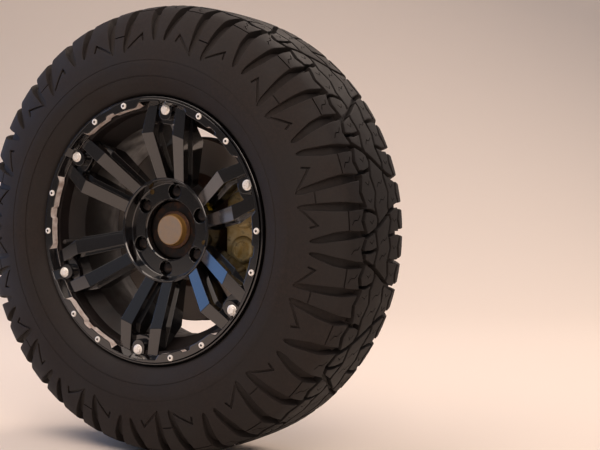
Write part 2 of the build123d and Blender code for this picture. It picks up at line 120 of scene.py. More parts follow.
def colour_property(name, description, code):
    """A colour that the user can change."""
    return FloatVectorProperty(
        name=name, description=description, default=hex_colour(code), subtype="COLOR", size=4, min=0, max=1
    )


def length_property(name, description, millimetres):
    """A length that the user can change."""
    return FloatProperty(
        name=name, description=description, default=millimetres * MM, min=0, unit="LENGTH", precision=4
    )


class TyreSettings(bpy.types.PropertyGroup):
    """Sizes and colours of the tyre"""

    lug_bevel: length_property("Lug rounding", "Rounding along the top edges of the lugs", 1.4)
    sipe_width: length_property("Sipe width", "Width of the thin cuts in the tread blocks", 1.6)
    rubber: colour_property("Rubber", "Colour of the clean rubber", "#171312")
    dust: colour_property("Dust", "Colour of the dry dust on the rubber", "#392d27")


class RimSettings(bpy.types.PropertyGroup):
    """Sizes and colours of the rim, the bolted ring and the spokes"""

    edge_bevel: length_property("Edge rounding", "Rounding of the cast and machined edges", 0.8)
    paint: colour_property("Paint", "Gloss paint of the whole wheel", "#0d0b0c")
    bare_metal: colour_property("Bare metal", "Machined inner edges of the ring", "#f0e6e0")
    paint_mark: colour_property("Paint mark", "Dab of inspection paint by the hub", "#c9a81c")


class FastenerSettings(bpy.types.PropertyGroup):
    """Sizes and colours of the bolts, screws and nuts"""

    screw_reach: length_property("Ring screw circle", "Radius of the circle of ring screws", 225.0)
    screw_spread: FloatProperty(
        name="Ring screw spread",
        description="Angle of a ring screw from the axis of its spoke pair",
        default=math.radians(21.05),
        subtype="ANGLE",
    )
    bolt_reach: length_property("Spoke bolt circle", "Radius of the circle of spoke bolts", 213.6)
    zinc: colour_property("Zinc", "Bright plating of the bolts and screws", "#fbf7f1")
    nut_finish: colour_property("Nut finish", "Black finish of the wheel nuts", "#1d1a1a")


class BrakeSettings(bpy.types.PropertyGroup):
    """Sizes and colours of the hub and brake"""

    vane_count: IntProperty(
        name="Vanes", description="Vanes between the disc's two plates", default=40, min=3
    )
    disc_metal: colour_property("Disc face", "Swept face of the brake disc", "#b3a89f")
    caliper_finish: colour_property("Caliper", "Yellow zinc finish of the caliper", "#a98a45")
    cap_face: colour_property("Cap face", "Dusty plated face of the hub cap", "#9a8570")
    rust: colour_property("Rust", "Rust on the hub, disc hat and knuckle", "#5b3a24")


class StageSettings(bpy.types.PropertyGroup):
    """Floor, light and camera"""

    focal_length: FloatProperty(
        name="Focal length", description="Lens in millimetres on a 36 mm sensor", default=72.68, min=1
    )
    floor: colour_property("Floor", "Plain floor and backdrop", "#ecdfd2")
    horizon: colour_property("Horizon", "Dim light from low down", "#6c6562")
    sky: colour_property("Sky", "Soft light from above", "#9096a3")
    glow: colour_property("Glow", "Blue light from the front of the vehicle", "#7cb4ff")
    lamp: colour_property("Lamps", "Warm light of the three lamps", "#ffe9d8")


GROUPS = {
    "wheel_end_tyre": TyreSettings,
    "wheel_end_rim": RimSettings,
    "wheel_end_fasteners": FastenerSettings,
    "wheel_end_brake": BrakeSettings,
    "wheel_end_stage": StageSettings,
}


# Modelling by hand: one piece is selected at a time
def only(*pieces):
    """Leaves object mode on, with just these pieces selected and the first one active."""
    if bpy.context.object is not None and bpy.context.object.mode != "OBJECT":
        bpy.ops.object.mode_set(mode="OBJECT")
    bpy.ops.object.select_all(action="DESELECT")
    for piece in pieces:
        piece.select_set(True)
    if pieces:
        bpy.context.view_layer.objects.active = pieces[0]


def edit(piece):
    """Edit mode on that piece alone, with all of it selected."""
    only(piece)
    bpy.ops.object.mode_set(mode="EDIT")
    bpy.ops.mesh.select_all(action="SELECT")


def pick(piece, kind, test):
    """In edit mode, selects the vertices, edges or faces that pass the test, and nothing else."""
    bpy.ops.mesh.select_mode(type=kind)
    bpy.ops.mesh.select_all(action="DESELECT")
    mesh = bmesh.from_edit_mesh(piece.data)
    for part in {"VERT": mesh.verts, "EDGE": mesh.edges, "FACE": mesh.faces}[kind]:
        if test(part):
            part.select_set(True)
    bmesh.update_edit_mesh(piece.data)


def extrude_by(offset):
    """Extrudes what is selected and moves it by the offset."""
    bpy.ops.mesh.extrude_region_move(TRANSFORM_OT_translate={"value": offset})


def draw_outline(name, points):
    """Closed outline of a new piece: one vertex, extruded from point to point. It stays in edit mode."""
    only()
    bpy.ops.mesh.primitive_plane_add(size=MM)
    piece = bpy.context.object
    piece.name = piece.data.name = name
    edit(piece)
    bpy.ops.mesh.merge(type="CENTER")
    bpy.ops.transform.translate(value=points[0])
    for start, stop in zip(points, points[1:] + points[:1]):
        extrude_by(stop - start)
    bpy.ops.mesh.select_all(action="SELECT")
    bpy.ops.mesh.remove_doubles(threshold=WELD)
    return piece


def close_up(piece):
    """Merges doubled vertices and turns all faces outwards, then leaves edit mode."""
    edit(piece)
    bpy.ops.mesh.remove_doubles(threshold=WELD)
    bpy.ops.mesh.normals_make_consistent(inside=False)
    only(piece)
    return piece


def block(name, plan, front, back, place=upright):
    """Solid with a plan of sideways place and reach, extruded from one depth to another."""
    piece = draw_outline(name, [place(x, reach, front) for x, reach in plan])
    bpy.ops.mesh.edge_face_add()
    extrude_by((0, (back - front) * MM, 0))
    return close_up(piece)


def slice_off(piece, place, normal):
    """Cuts a solid with a plane and takes away the side that its normal points to."""
    edit(piece)
    bpy.ops.mesh.bisect(plane_co=place, plane_no=normal, use_fill=True, clear_outer=True)
    return close_up(piece)


def lathe(name, rows, steps=128, start=0.0, sweep=360.0):
    """Section of depth and radius rows, spun clockwise round the axle."""
    piece = draw_outline(name, [at_clock(start, radius, depth) for depth, radius in rows])
    bpy.ops.mesh.spin(steps=steps, angle=-math.radians(sweep), center=(0, 0, 0), axis=(0, 1, 0))
    bpy.ops.mesh.select_all(action="SELECT")
    bpy.ops.mesh.remove_doubles(threshold=WELD)
    if sweep < 360:
        bpy.ops.mesh.fill_holes(sides=0)
    return close_up(piece)


def set_ring(piece, radius, across_flats):
    """Moves the selected ring of vertices onto a circle, or onto a hexagon of that size."""
    mesh = bmesh.from_edit_mesh(piece.data)
    for vertex in (v for v in mesh.verts if v.select):
        angle = math.atan2(vertex.co.x, vertex.co.z)
        from_flat = (math.degrees(angle) + 0.01) % 60 - 30.01
        reach = across_flats / 2 / math.cos(math.radians(from_flat)) if across_flats else radius
        vertex.co.x = reach * MM * math.sin(angle)
        vertex.co.z = reach * MM * math.cos(angle)
    bmesh.update_edit_mesh(piece.data)


def turned(name, rows, sides=24):
    """Turned part on the axle line. A row is depth and radius, or depth, 0 and a hexagon's width."""
    only()
    rows = [(*row, 0)[:3] for row in rows]
    depth, radius, flats = rows[0]
    upright_turn = (math.pi / 2, 0, 0)
    bpy.ops.mesh.primitive_circle_add(
        vertices=sides, radius=MM, fill_type="NGON", location=(0, y_at(depth), 0), rotation=upright_turn
    )
    piece = bpy.context.object
    piece.name = piece.data.name = name
    bpy.ops.object.transform_apply()
    edit(piece)
    set_ring(piece, radius, flats)
    for next_depth, radius, flats in rows[1:]:
        extrude_by((0, (next_depth - depth) * MM, 0))
        set_ring(piece, radius, flats)
        depth = next_depth
    return close_up(piece)


def shift(piece, offset):
    """Moves a piece and applies the move to its mesh."""
    only(piece)
    bpy.ops.transform.translate(value=offset)
    bpy.ops.object.transform_apply()
    return piece


def turn(piece, clock):
    """Turns a piece clockwise round the axle, seen from outside, and applies the turn to its mesh."""
    only(piece)
    # With no window the operator turns the other way
    bpy.ops.transform.rotate(value=-math.radians(clock), orient_axis="Y", center_override=(0, 0, 0))
    bpy.ops.object.transform_apply()
    return piece


def duplicate(piece):
    """A copy of a finished piece, with its own mesh."""
    only(piece)
    bpy.ops.object.duplicate()
    return bpy.context.object


def copies(piece, clocks):
    """The piece, drawn at twelve o'clock, at each of the clock angles."""
    made = [turn(duplicate(piece), clock) for clock in clocks]
    bpy.data.objects.remove(piece)
    return made


def join(name, pieces):
    """Several pieces as one, with that name."""
    only(*pieces)
    if len(pieces) > 1:
        bpy.ops.object.join()
    pieces[0].name = pieces[0].data.name = name
    return pieces[0]


def finish_with(piece, kind, **settings):
    """Gives the piece a modifier with those settings and applies it."""
    only(piece)
    modifier = piece.modifiers.new(kind.title(), kind)
    for name, value in settings.items():
        setattr(modifier, name, value)
    bpy.ops.object.modifier_apply(modifier=modifier.name)
    return piece


def round_edges(piece, width, segments=2, angle=28.0):
    """Rounds every edge that is sharper than the angle."""
    return finish_with(
        piece,
        "BEVEL",
        width=width,
        segments=segments,
        limit_method="ANGLE",
        angle_limit=math.radians(angle),
        use_clamp_overlap=False,
        harden_normals=False,
    )


def cut_away(piece, cutters):
    """Takes the cutters out of the piece."""
    tool = join("cutter", cutters)
    finish_with(piece, "BOOLEAN", operation="DIFFERENCE", solver="EXACT", object=tool)
    bpy.data.objects.remove(tool)
    return piece


def dress(piece, body, finishes, nodes=(), smooth=32.0):
    """Smooths a finished piece, gives it its finishes and its body, and hides the nodes it stands for."""
    if not piece.data.polygons:
        raise RuntimeError(f"{piece.name} has come out empty")
    only(piece)
    bpy.ops.object.shade_smooth_by_angle(angle=math.radians(smooth))
    # Large faces keep their own normal, so a facet mirrors one flat tone and its rounded edge takes the turn
    finish_with(piece, "WEIGHTED_NORMAL", weight=80, keep_sharp=True)
    marks = [polygon.material_index for polygon in piece.data.polygons]
    piece.data.materials.clear()
    for finish in finishes:
        piece.data.materials.append(finish)
    for polygon, mark in zip(piece.data.polygons, marks):
        polygon.material_index = min(mark, len(finishes) - 1)
    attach(piece, body)
    if nodes:
        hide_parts(*nodes)
    return piece


def dress_round(piece, clocks, finishes):
    """Numbered and dressed copies of a small wheel part, drawn at twelve o'clock, at the clock angles."""
    name = piece.name
    made = copies(piece, clocks)
    for number, part in enumerate(made, 1):
        dress(join(f"{name}_{number}", [part]), "wheel", finishes)
    return made


def mark_faces(piece, test):
    """Marks the faces that pass the test for the piece's second finish."""
    for polygon in piece.data.polygons:
        if test(polygon.center, polygon.normal):
            polygon.material_index = 1


def strip(points, width):
    """Outline of a line of that width along plan points, mitred at its corners."""
    line = [Vector(point) for point in points]
    sides = []
    for index, point in enumerate(line):
        before = (point - line[max(index - 1, 0)]).normalized()
        after = (line[min(index + 1, len(line) - 1)] - point).normalized()
        along = (before + after).normalized()
        square = Vector((-along.y, along.x))
        reference = after if after.length else before
        sides.append(square * (width / 2 / max(0.4, along.dot(reference))))
    left = [tuple(p + side) for p, side in zip(line, sides)]
    right = [tuple(p - side) for p, side in zip(line, sides)]
    return left + right[::-1]


# Finishes. Patterns are scaled from real sizes in millimetres
CLOUD_ROUGHNESS = 0.55
# A Mix node that mixes colours has them in its sockets 6 and 7, and gives the mix from output 2
COLOURS = {"out": 2, "data_type": "RGBA"}


def add(tree, kind, sockets=(), out=0, **settings):
    """Adds a shader node with its settings. A socket takes a value, a hex colour or another node's output."""
    made = tree.nodes.new("ShaderNode" + kind)
    for name, value in settings.items():
        setattr(made, name, value)
    for name, value in sockets.items() if isinstance(sockets, dict) else enumerate(sockets):
        if isinstance(value, bpy.types.NodeSocket):
            tree.links.new(value, made.inputs[name])
        else:
            made.inputs[name].default_value = hex_colour(value) if isinstance(value, str) else value
    return made.outputs[out] if made.outputs else None


def new_finish(name):
    """Empty material and its node tree."""
    material = bpy.data.materials.new(name)
    material.use_nodes = True
    material.node_tree.nodes.clear()
    return material, material.node_tree


def earlier_finish(name):
    """Finish that an operator before this one has made."""
    if name not in bpy.data.materials:
        raise RuntimeError(f"the finish {name} isn't made yet")
    return bpy.data.materials[name]


def clouds(tree, size, detail):
    """Soft noise on the object's own coordinates, with features of about that size."""
    place = add(tree, "TexCoord", out="Object")
    sockets = {"Vector": place, "Scale": 1 / (size * MM), "Detail": detail, "Roughness": CLOUD_ROUGHNESS}
    return add(tree, "TexNoise", sockets)


def patches(tree, size, low, high, detail=3.0, least=0.0, most=1.0):
    """Patches of about that size: least where the noise is below low, and most where it is above high."""
    return add(tree, "MapRange", (clouds(tree, size, detail), low, high, least, most))


def skin(tree, size, depth, strength, detail=3.0):
    """Cast or moulded skin, as a normal: grains of about that size and that deep."""
    grains = clouds(tree, size, detail)
    return add(tree, "Bump", {"Height": grains, "Distance": depth * MM, "Strength": strength})


def reach_of(tree):
    """Distance of a point from the axle, in metres."""
    place = add(tree, "TexCoord", out="Object")
    across = add(tree, "VectorMath", (place, (1.0, 0.0, 1.0)), operation="MULTIPLY")
    return add(tree, "VectorMath", (across,), out="Value", operation="LENGTH")


def tool_lines(tree, spacing):
    """Height of fine rings round the axle, that far apart."""
    turns = add(tree, "Math", (reach_of(tree), math.tau / (spacing * MM)), operation="MULTIPLY")
    return add(tree, "Math", (turns,), operation="SINE")


def surface(material, sockets):
    """Closes a finish with its shader."""
    tree = material.node_tree
    add(tree, "OutputMaterial", (add(tree, "BsdfPrincipled", sockets),))
    return material


def tread_rubber(settings):
    """Carbon black rubber, moulded: dull and dark, with dry dust in a patchy film and a fine cast grain."""
    material, tree = new_finish("moulded_rubber")
    film = patches(tree, 90.0, 0.35, 0.75, detail=4.0, least=0.3)
    speck = patches(tree, 4.0, 0.4, 0.7, least=0.4)
    dust = add(tree, "Math", (film, speck), operation="MULTIPLY", use_clamp=True)
    dust = add(tree, "Math", (dust, 0.45), operation="MULTIPLY")
    colour = add(tree, "Mix", {0: dust, 6: settings.rubber, 7: settings.dust}, **COLOURS)
    # The crown is worn clean and darker where it meets the road
    worn = add(tree, "MapRange", (reach_of(tree), 385 * MM, 401 * MM, 0, 0.6))
    return surface(material, {
        "Base Color": add(tree, "Mix", {0: worn, 6: colour, 7: "#100e0e"}, **COLOURS),
        "Roughness": patches(tree, 90.0, 0.3, 0.7, detail=4.0, least=0.66, most=0.86),
        "IOR": 1.52,
        "Specular IOR Level": 0.35,
        # The mould grain is 0.4 mm on a real tyre, and is drawn at 1.5 mm so that it shows
        "Normal": skin(tree, 1.5, 0.18, 0.6, detail=2.0),
    })


def gloss_paint(settings):
    """Black gloss paint under clear coat: deep as a mirror, with slight orange peel and stray dust."""
    material, tree = new_finish("gloss_black_paint")
    specks = patches(tree, 1.6, 0.72, 0.79, detail=1.0)
    film = patches(tree, 30.0, 0.45, 0.75)
    dust = add(tree, "Math", (specks, film), operation="MULTIPLY", use_clamp=True)
    return surface(material, {
        "Base Color": add(tree, "Mix", {0: dust, 6: settings.paint, 7: "#5a463a"}, **COLOURS),
        "Roughness": add(tree, "Math", (dust, 0.4, 0.1), operation="MULTIPLY_ADD"),
        "IOR": 1.55,
        "Coat Weight": 0.7,
        "Coat Roughness": 0.05,
        "Coat IOR": 1.55,
        # Orange peel has waves about 3 mm long
        "Normal": skin(tree, 3.0, 0.02, 0.5, detail=1.0),
    })


def satin_paint():
    """The same black paint where the barrel is dull with road dust: nearly no reflection is left."""
    material, tree = new_finish("satin_black_paint")
    film = patches(tree, 25.0, 0.35, 0.75, detail=4.0)
    return surface(material, {
        "Base Color": add(tree, "Mix", {0: film, 6: "#120e0e", 7: "#1f1817"}, **COLOURS),
        "Roughness": add(tree, "MapRange", (film, 0, 1, 0.42, 0.7)),
        "Specular IOR Level": 0.35,
    })


def bare_alloy(settings):
    """Machined aluminium: bright, with fine tool lines that run round the wheel."""
    material, tree = new_finish("machined_aluminium")
    # Tool lines are 0.2 mm apart on the real edge, and are drawn 0.8 mm apart so that they show
    lines = tool_lines(tree, 0.8)
    stain = patches(tree, 12.0, 0.4, 0.75)
    return surface(material, {
        "Base Color": add(tree, "Mix", {0: stain, 6: settings.bare_metal, 7: "#b39c90"}, **COLOURS),
        "Metallic": 0.25,
        "Roughness": add(tree, "MapRange", (stain, 0, 1, 0.34, 0.5)),
        "Normal": add(tree, "Bump", {"Height": lines, "Distance": 0.02 * MM, "Strength": 0.4}),
    })


def zinc_plate(settings):
    """Bright zinc on steel: pale and clean, a little duller where hands and dust have been."""
    material, tree = new_finish("bright_zinc_plate")
    stain = patches(tree, 5.0, 0.5, 0.8)
    return surface(material, {
        "Base Color": add(tree, "Mix", {0: stain, 6: settings.zinc, 7: "#c2b8ac"}, **COLOURS),
        "Metallic": 0.3,
        "Roughness": add(tree, "MapRange", (stain, 0, 1, 0.3, 0.45)),
    })


def black_steel(settings):
    """Black oxide on steel: dark and satin, browner where it has rubbed."""
    material, tree = new_finish("black_oxide_steel")
    rubbed = patches(tree, 4.0, 0.5, 0.8)
    return surface(material, {
        "Base Color": add(tree, "Mix", {0: rubbed, 6: settings.nut_finish, 7: "#4a382e"}, **COLOURS),
        "Metallic": 0.6,
        "Roughness": 0.36,
        "Normal": add(tree, "Bump", {"Height": rubbed, "Distance": 0.05 * MM, "Strength": 0.4}),
    })


def valve_rubber(settings):
    """Plain black rubber of the valve: matt, with a trace of dust."""
    material, tree = new_finish("valve_rubber")
    dust = patches(tree, 3.0, 0.5, 0.8, most=0.5)
    colour = add(tree, "Mix", {0: dust, 6: "#1b1919", 7: settings.dust}, **COLOURS)
    return surface(material, {"Base Color": colour, "Roughness": 0.6, "IOR": 1.52})


def forged_steel(settings):
    """Forged steel, bare: dark grey, warm with thin rust, and slightly pitted."""
    material, tree = new_finish("forged_steel")
    rust = patches(tree, 14.0, 0.5, 0.75, detail=5.0, most=0.7)
    return surface(material, {
        "Base Color": add(tree, "Mix", {0: rust, 6: "#1f1c1b", 7: settings.rust}, **COLOURS),
        "Metallic": 0.7,
        "Roughness": add(tree, "MapRange", (rust, 0, 1, 0.4, 0.75)),
        "Normal": skin(tree, 1.5, 0.15, 0.6),
    })


def cap_plate(settings):
    """Yellow zinc on pressed steel, dusty: grey-gold in the middle and rusty at the brim."""
    material, tree = new_finish("dusty_yellow_zinc")
    reach = reach_of(tree)
    cloud = patches(tree, 9.0, 0.35, 0.7, detail=4.0)
    face = add(tree, "Mix", {0: cloud, 6: settings.cap_face, 7: "#8f8377"}, **COLOURS)
    edge = add(tree, "MapRange", (reach, 24.0 * MM, 27.5 * MM))
    face = add(tree, "Mix", {0: edge, 6: face, 7: "#9c7740"}, **COLOURS)
    speck = patches(tree, 2.2, 0.4, 0.62, detail=4.0)
    rust = add(tree, "Mix", {0: speck, 6: "#2c2019", 7: settings.rust}, **COLOURS)
    brim = add(tree, "MapRange", (reach, 28.4 * MM, 29.6 * MM))
    return surface(material, {
        "Base Color": add(tree, "Mix", {0: brim, 6: face, 7: rust}, **COLOURS),
        "Metallic": 0.55,
        "Roughness": add(tree, "MapRange", (cloud, 0, 1, 0.38, 0.6)),
        "Normal": add(tree, "Bump", {"Height": speck, "Distance": 0.1 * MM, "Strength": 0.4}),
    })


def disc_iron(settings):
    """Cast iron brake disc: swept bright in fine rings where the pads run, rusty brown elsewhere."""
    material, tree = new_finish("swept_cast_iron")
    reach = reach_of(tree)
    # The pads leave rings about 0.3 mm apart, drawn 1 mm apart so that they show
    rings = tool_lines(tree, 1.0)
    inner = add(tree, "MapRange", (reach, 104.0 * MM, 107.0 * MM))
    outer = add(tree, "MapRange", (reach, 166.5 * MM, 168.0 * MM, 1.0, 0.0))
    swept = add(tree, "Math", (inner, outer), operation="MULTIPLY")
    rust = add(tree, "Mix", {0: clouds(tree, 6.0, 5.0), 6: settings.rust, 7: "#3a2b22"}, **COLOURS)
    line = add(tree, "MapRange", (rings, -1, 1, 0, 0.35))
    tone = add(tree, "Mix", {0: line, 6: settings.disc_metal, 7: "#6f6a66"}, **COLOURS)
    return surface(material, {
        "Base Color": add(tree, "Mix", {0: swept, 6: rust, 7: tone}, **COLOURS),
        "Metallic": add(tree, "MapRange", (swept, 0, 1, 0.3, 0.65)),
        "Roughness": add(tree, "MapRange", (swept, 0, 1, 0.75, 0.4)),
        "Normal": add(tree, "Bump", {"Height": rings, "Distance": 0.02 * MM, "Strength": 0.35}),
    })


def plated_sheet():
    """Zinc-plated pressed steel sheet: flat grey with dust and a faint spangle."""
    material, tree = new_finish("plated_sheet_steel")
    # Spangles are about 9 mm across
    place = add(tree, "TexCoord", out="Object")
    spangle = add(tree, "TexVoronoi", {"Vector": place, "Scale": 1 / (9.0 * MM)})
    shade = add(tree, "MapRange", (spangle, 0, 0.6, 0, 0.5))
    colour = add(tree, "Mix", {0: shade, 6: "#77736e", 7: "#8f8a83"}, **COLOURS)
    dust = patches(tree, 40.0, 0.4, 0.7, detail=4.0)
    return surface(material, {
        "Base Color": add(tree, "Mix", {0: dust, 6: colour, 7: "#5b4a3d"}, **COLOURS),
        "Metallic": 0.8,
        "Roughness": add(tree, "MapRange", (dust, 0, 1, 0.42, 0.7)),
    })


def caliper_zinc(settings):
    """Yellow zinc on cast iron: gold and cream clouds over a sand-cast grain, with dark brake dust."""
    material, tree = new_finish("yellow_zinc_cast_iron")
    cloud = patches(tree, 22.0, 0.35, 0.68, detail=4.0)
    colour = add(tree, "Mix", {0: cloud, 6: settings.caliper_finish, 7: "#d3c69c"}, **COLOURS)
    grime = patches(tree, 11.0, 0.55, 0.75, detail=5.0)
    return surface(material, {
        "Base Color": add(tree, "Mix", {0: grime, 6: colour, 7: "#4b3c22"}, **COLOURS),
        "Metallic": 0.35,
        "Roughness": add(tree, "MapRange", (grime, 0, 1, 0.42, 0.7)),
        # Sand-cast grain of about 1 mm, drawn at 1.6 mm
        "Normal": skin(tree, 1.6, 0.25, 0.5),
    })


def pad_lining():
    """Pressed friction lining: dark grey-brown, coarse, with bright metal specks."""
    material, tree = new_finish("friction_lining")
    specks = patches(tree, 0.9, 0.62, 0.7, detail=1.0)
    return surface(material, {
        "Base Color": add(tree, "Mix", {0: specks, 6: "#2b2725", 7: "#7b6f64"}, **COLOURS),
        "Metallic": 0.1,
        "Roughness": 0.8,
        "Normal": skin(tree, 1.2, 0.2, 0.8),
    })


def knuckle_iron(settings):
    """Sand-cast ductile iron: dark grey-brown, coarse grain, thin rust with road dust on it."""
    material, tree = new_finish("sand_cast_iron")
    rust = patches(tree, 35.0, 0.45, 0.7, detail=5.0)
    dust = patches(tree, 5.0, 0.4, 0.7, detail=4.0, most=0.6)
    colour = add(tree, "Mix", {0: rust, 6: "#36312e", 7: settings.rust}, **COLOURS)
    return surface(material, {
        "Base Color": add(tree, "Mix", {0: dust, 6: colour, 7: "#5a4b40"}, **COLOURS),
        "Metallic": 0.4,
        "Roughness": add(tree, "MapRange", (rust, 0, 1, 0.55, 0.8)),
        # Sand-cast grain of about 1 mm, drawn at 2 mm
        "Normal": skin(tree, 2.0, 0.5, 0.7, detail=4.0),
    })


def mark_paint(settings):
    """Brushed inspection paint: chrome yellow, satin, thin at its edges."""
    material, tree = new_finish("inspection_paint")
    thin = patches(tree, 2.5, 0.45, 0.75, most=0.6)
    return surface(material, {
        "Base Color": add(tree, "Mix", {0: thin, 6: settings.paint_mark, 7: "#7c6412"}, **COLOURS),
        "Roughness": 0.45,
        "Normal": add(tree, "Bump", {"Height": thin, "Distance": 0.1 * MM, "Strength": 0.5}),
    })


def plug_brass():
    """Brass of the small plug screws: yellow metal, tarnished brown."""
    material, tree = new_finish("tarnished_brass")
    tarnish = patches(tree, 2.0, 0.4, 0.7)
    colour = add(tree, "Mix", {0: tarnish, 6: "#6e5a34", 7: "#33261b"}, **COLOURS)
    return surface(material, {"Base Color": colour, "Metallic": 0.8, "Roughness": 0.4})


# Tyre: outline of the tread side, as way out from the crown's middle, depth, radius and tread depth there
TREAD_SIDE = [
    (0, 120, 401.2, 14),
    (60, 60, 399.3, 14),
    (80, 40.3, 395.6, 13.5),
    (101, 21.2, 388.0, 12.5),
    (122, 7.6, 372.0, 10.5),
    (139, -0.4, 357.0, 8.4),
    (154, -5.6, 343.0, 6.4),
    (168.6, -9.8, 329.0, 4.4),
    (184, -13.0, 314.0, 2.4),
    (201, -15.3, 297, 0.8),
]
TREAD_EDGE = TREAD_SIDE[-1][0]

# The tread is modelled flat, one pitch at a time, on a slab that is sunk into the carcass
BAND_DEPTH = 14.0
SLAB_ROOT = -3.0
CUT_ROOT = -9.0
CUT_TOP = 20.0
PITCH_LENGTH = 198.0
PITCH_SLICES = 12
PITCH_DEGREES = {"S": 27.0, "M": 29.8, "L": 32.5}
PITCH_ORDER = "MMSLLMMSSLLM"
FIRST_KEY_CLOCK = 19.4
DEGREE_LENGTH = PITCH_LENGTH / PITCH_DEGREES["M"]

# Zigzag channels round the tyre: length of one stroke, way out from the crown's middle, and swing
ZIGZAG_STEP = PITCH_LENGTH / 8
OUTER_WAY = 65.0
OUTER_SWING = 5.0
INNER_WAY = 24.0
INNER_SWING = -4.0

# Shoulder grooves of one pitch: share of the pitch, way out of the tip, drift of the tip in degrees
SHOULDER_GROOVES = [
    (0.118, 185.0, -1.3),
    (0.370, 166.5, 2.0),
    (0.630, 166.5, -2.0),
    (0.882, 185.0, 1.3),
]

# Hooked slot in a shoulder lug: places along the pitch and out, and height of its floor
HOOK = [(178.5, 181.0), (143.3, 154.0), (138.5, 166.0)]
HOOK_WIDTH = 4.2
HOOK_FLOOR = 5.0

# Slots of one pitch. Slanted ones: middle, and side to which they lean. Short ones: side, place, lean
SLANTED_SLOTS = [(49.5, 1), (148.5, -1)]
SHORT_SLOTS = [(1, 38, -6), (1, 99, 5), (1, 160, 6), (-1, 78, -5), (-1, 120, 5)]

# Step lines across the shoulder lugs: start, stop, way out, height of their floor
LUG_STEP_WIDTH = 2.4
LUG_STEPS = [
    (32.0, 66.0, 102, 10.5),
    (132.0, 166.0, 102, 10.5),
    (-20.0, 19.0, 153, 8.0),
    (179.0, 218.0, 153, 8.0),
]

# Sipes: places along the pitch in the middle blocks, the outer blocks of each side and the shoulder lugs
SIPE_FLOOR = 6.0
MIDDLE_SIPES = (14, 85, 113, 184)
BLOCK_SIPES = ((1, (15, 52, 87, 146, 184)), (-1, (12, 50, 99, 148, 187)))
LUG_SIPES = (48, 99, 149)


def smooth_row(rows, place):
    """The columns of a table at any place along its first one, on a smooth curve through its rows."""
    last = len(rows) - 2
    index = max(i for i in range(last + 1) if i == 0 or rows[i][0] <= place)
    before, start, stop, after = (rows[max(0, min(last + 1, index + k))] for k in (-1, 0, 1, 2))
    span = stop[0] - start[0]
    t = (place - start[0]) / span
    values = []
    for a, b, c, d in zip(before[1:], start[1:], stop[1:], after[1:]):
        lean_in = (c - a) / (stop[0] - before[0]) * span
        lean_out = (d - b) / (after[0] - start[0]) * span
        values.append(
            b * (2 * t**3 - 3 * t**2 + 1)
            + lean_in * (t**3 - 2 * t**2 + t)
            + c * (3 * t**2 - 2 * t**3)
            + lean_out * (t**3 - t**2)
        )
    return values


def tread_point(way, height):
    """Depth and radius of a point of the tread. Way is below 0 inboard, and BAND_DEPTH is a lug's top."""
    out = min(abs(way), TREAD_EDGE)
    depth, radius, groove = smooth_row(TREAD_SIDE, out)
    near, far = (smooth_row(TREAD_SIDE, min(max(out + step, 0), TREAD_EDGE)) for step in (-0.5, 0.5))
    along = Vector((far[0] - near[0], far[1] - near[1])).normalized()
    if out < 0.5:
        along = Vector((-1.0, 0.0))
    sunk = (1 - height / BAND_DEPTH) * groove
    depth, radius = depth - along.y * sunk, radius + along.x * sunk
    if way < 0:
        depth = 2 * TYRE_CENTRE - depth
    return depth, radius


def flat(x, way, height):
    """Point of the unrolled tread, in metres."""
    return Vector((x * MM, way * MM, height * MM))


def flat_cutter(plan, low):
    """Upright cutter through the unrolled tread, from above it down to that height."""
    piece = draw_outline("cutter", [flat(x, way, low) for x, way in plan])
    bpy.ops.mesh.edge_face_add()
    extrude_by((0, 0, (CUT_TOP - low) * MM))
    return close_up(piece)


def shoulder_plan(share, tip, drift, side):
    """Plan of a shoulder groove: wide at the shoulder, tapered to its drifting tip."""
    x = share * PITCH_LENGTH
    lean = drift * DEGREE_LENGTH
    rows = [(60, 5.0, -0.12), (84, 6.4, -0.04), (101, 8.2, 0.0), (126, 8.4, 0.25)]
    rows += [(tip - 14, 6.4, 0.78), (tip - 4, 4.2, 0.94)]
    left = [(x + lean * bend - half, side * way) for way, half, bend in rows]
    right = [(x + lean * bend + half, side * way) for way, half, bend in rows]
    return left + [(x + lean - 1.5, side * tip), (x + lean + 1.5, side * tip)] + right[::-1]


def zigzag(way, swing, width):
    """Plan of a channel that zigzags along the pitch and runs past both its ends."""
    return strip([(ZIGZAG_STEP * k, way + swing * (-1) ** k) for k in range(-1, 10)], width)


def on_zigzag(x, way, swing):
    """Point of a zigzag's centre line."""
    share = abs((x / ZIGZAG_STEP) % 2 - 1)
    return (x, way + swing * (2 * share - 1))


def hook_plan(flip, side):
    """Plan of the hooked slot in a shoulder lug, from a groove's tip up and back."""
    points = [(PITCH_LENGTH - x if flip else x, side * way) for x, way in HOOK]
    return strip(points, HOOK_WIDTH)


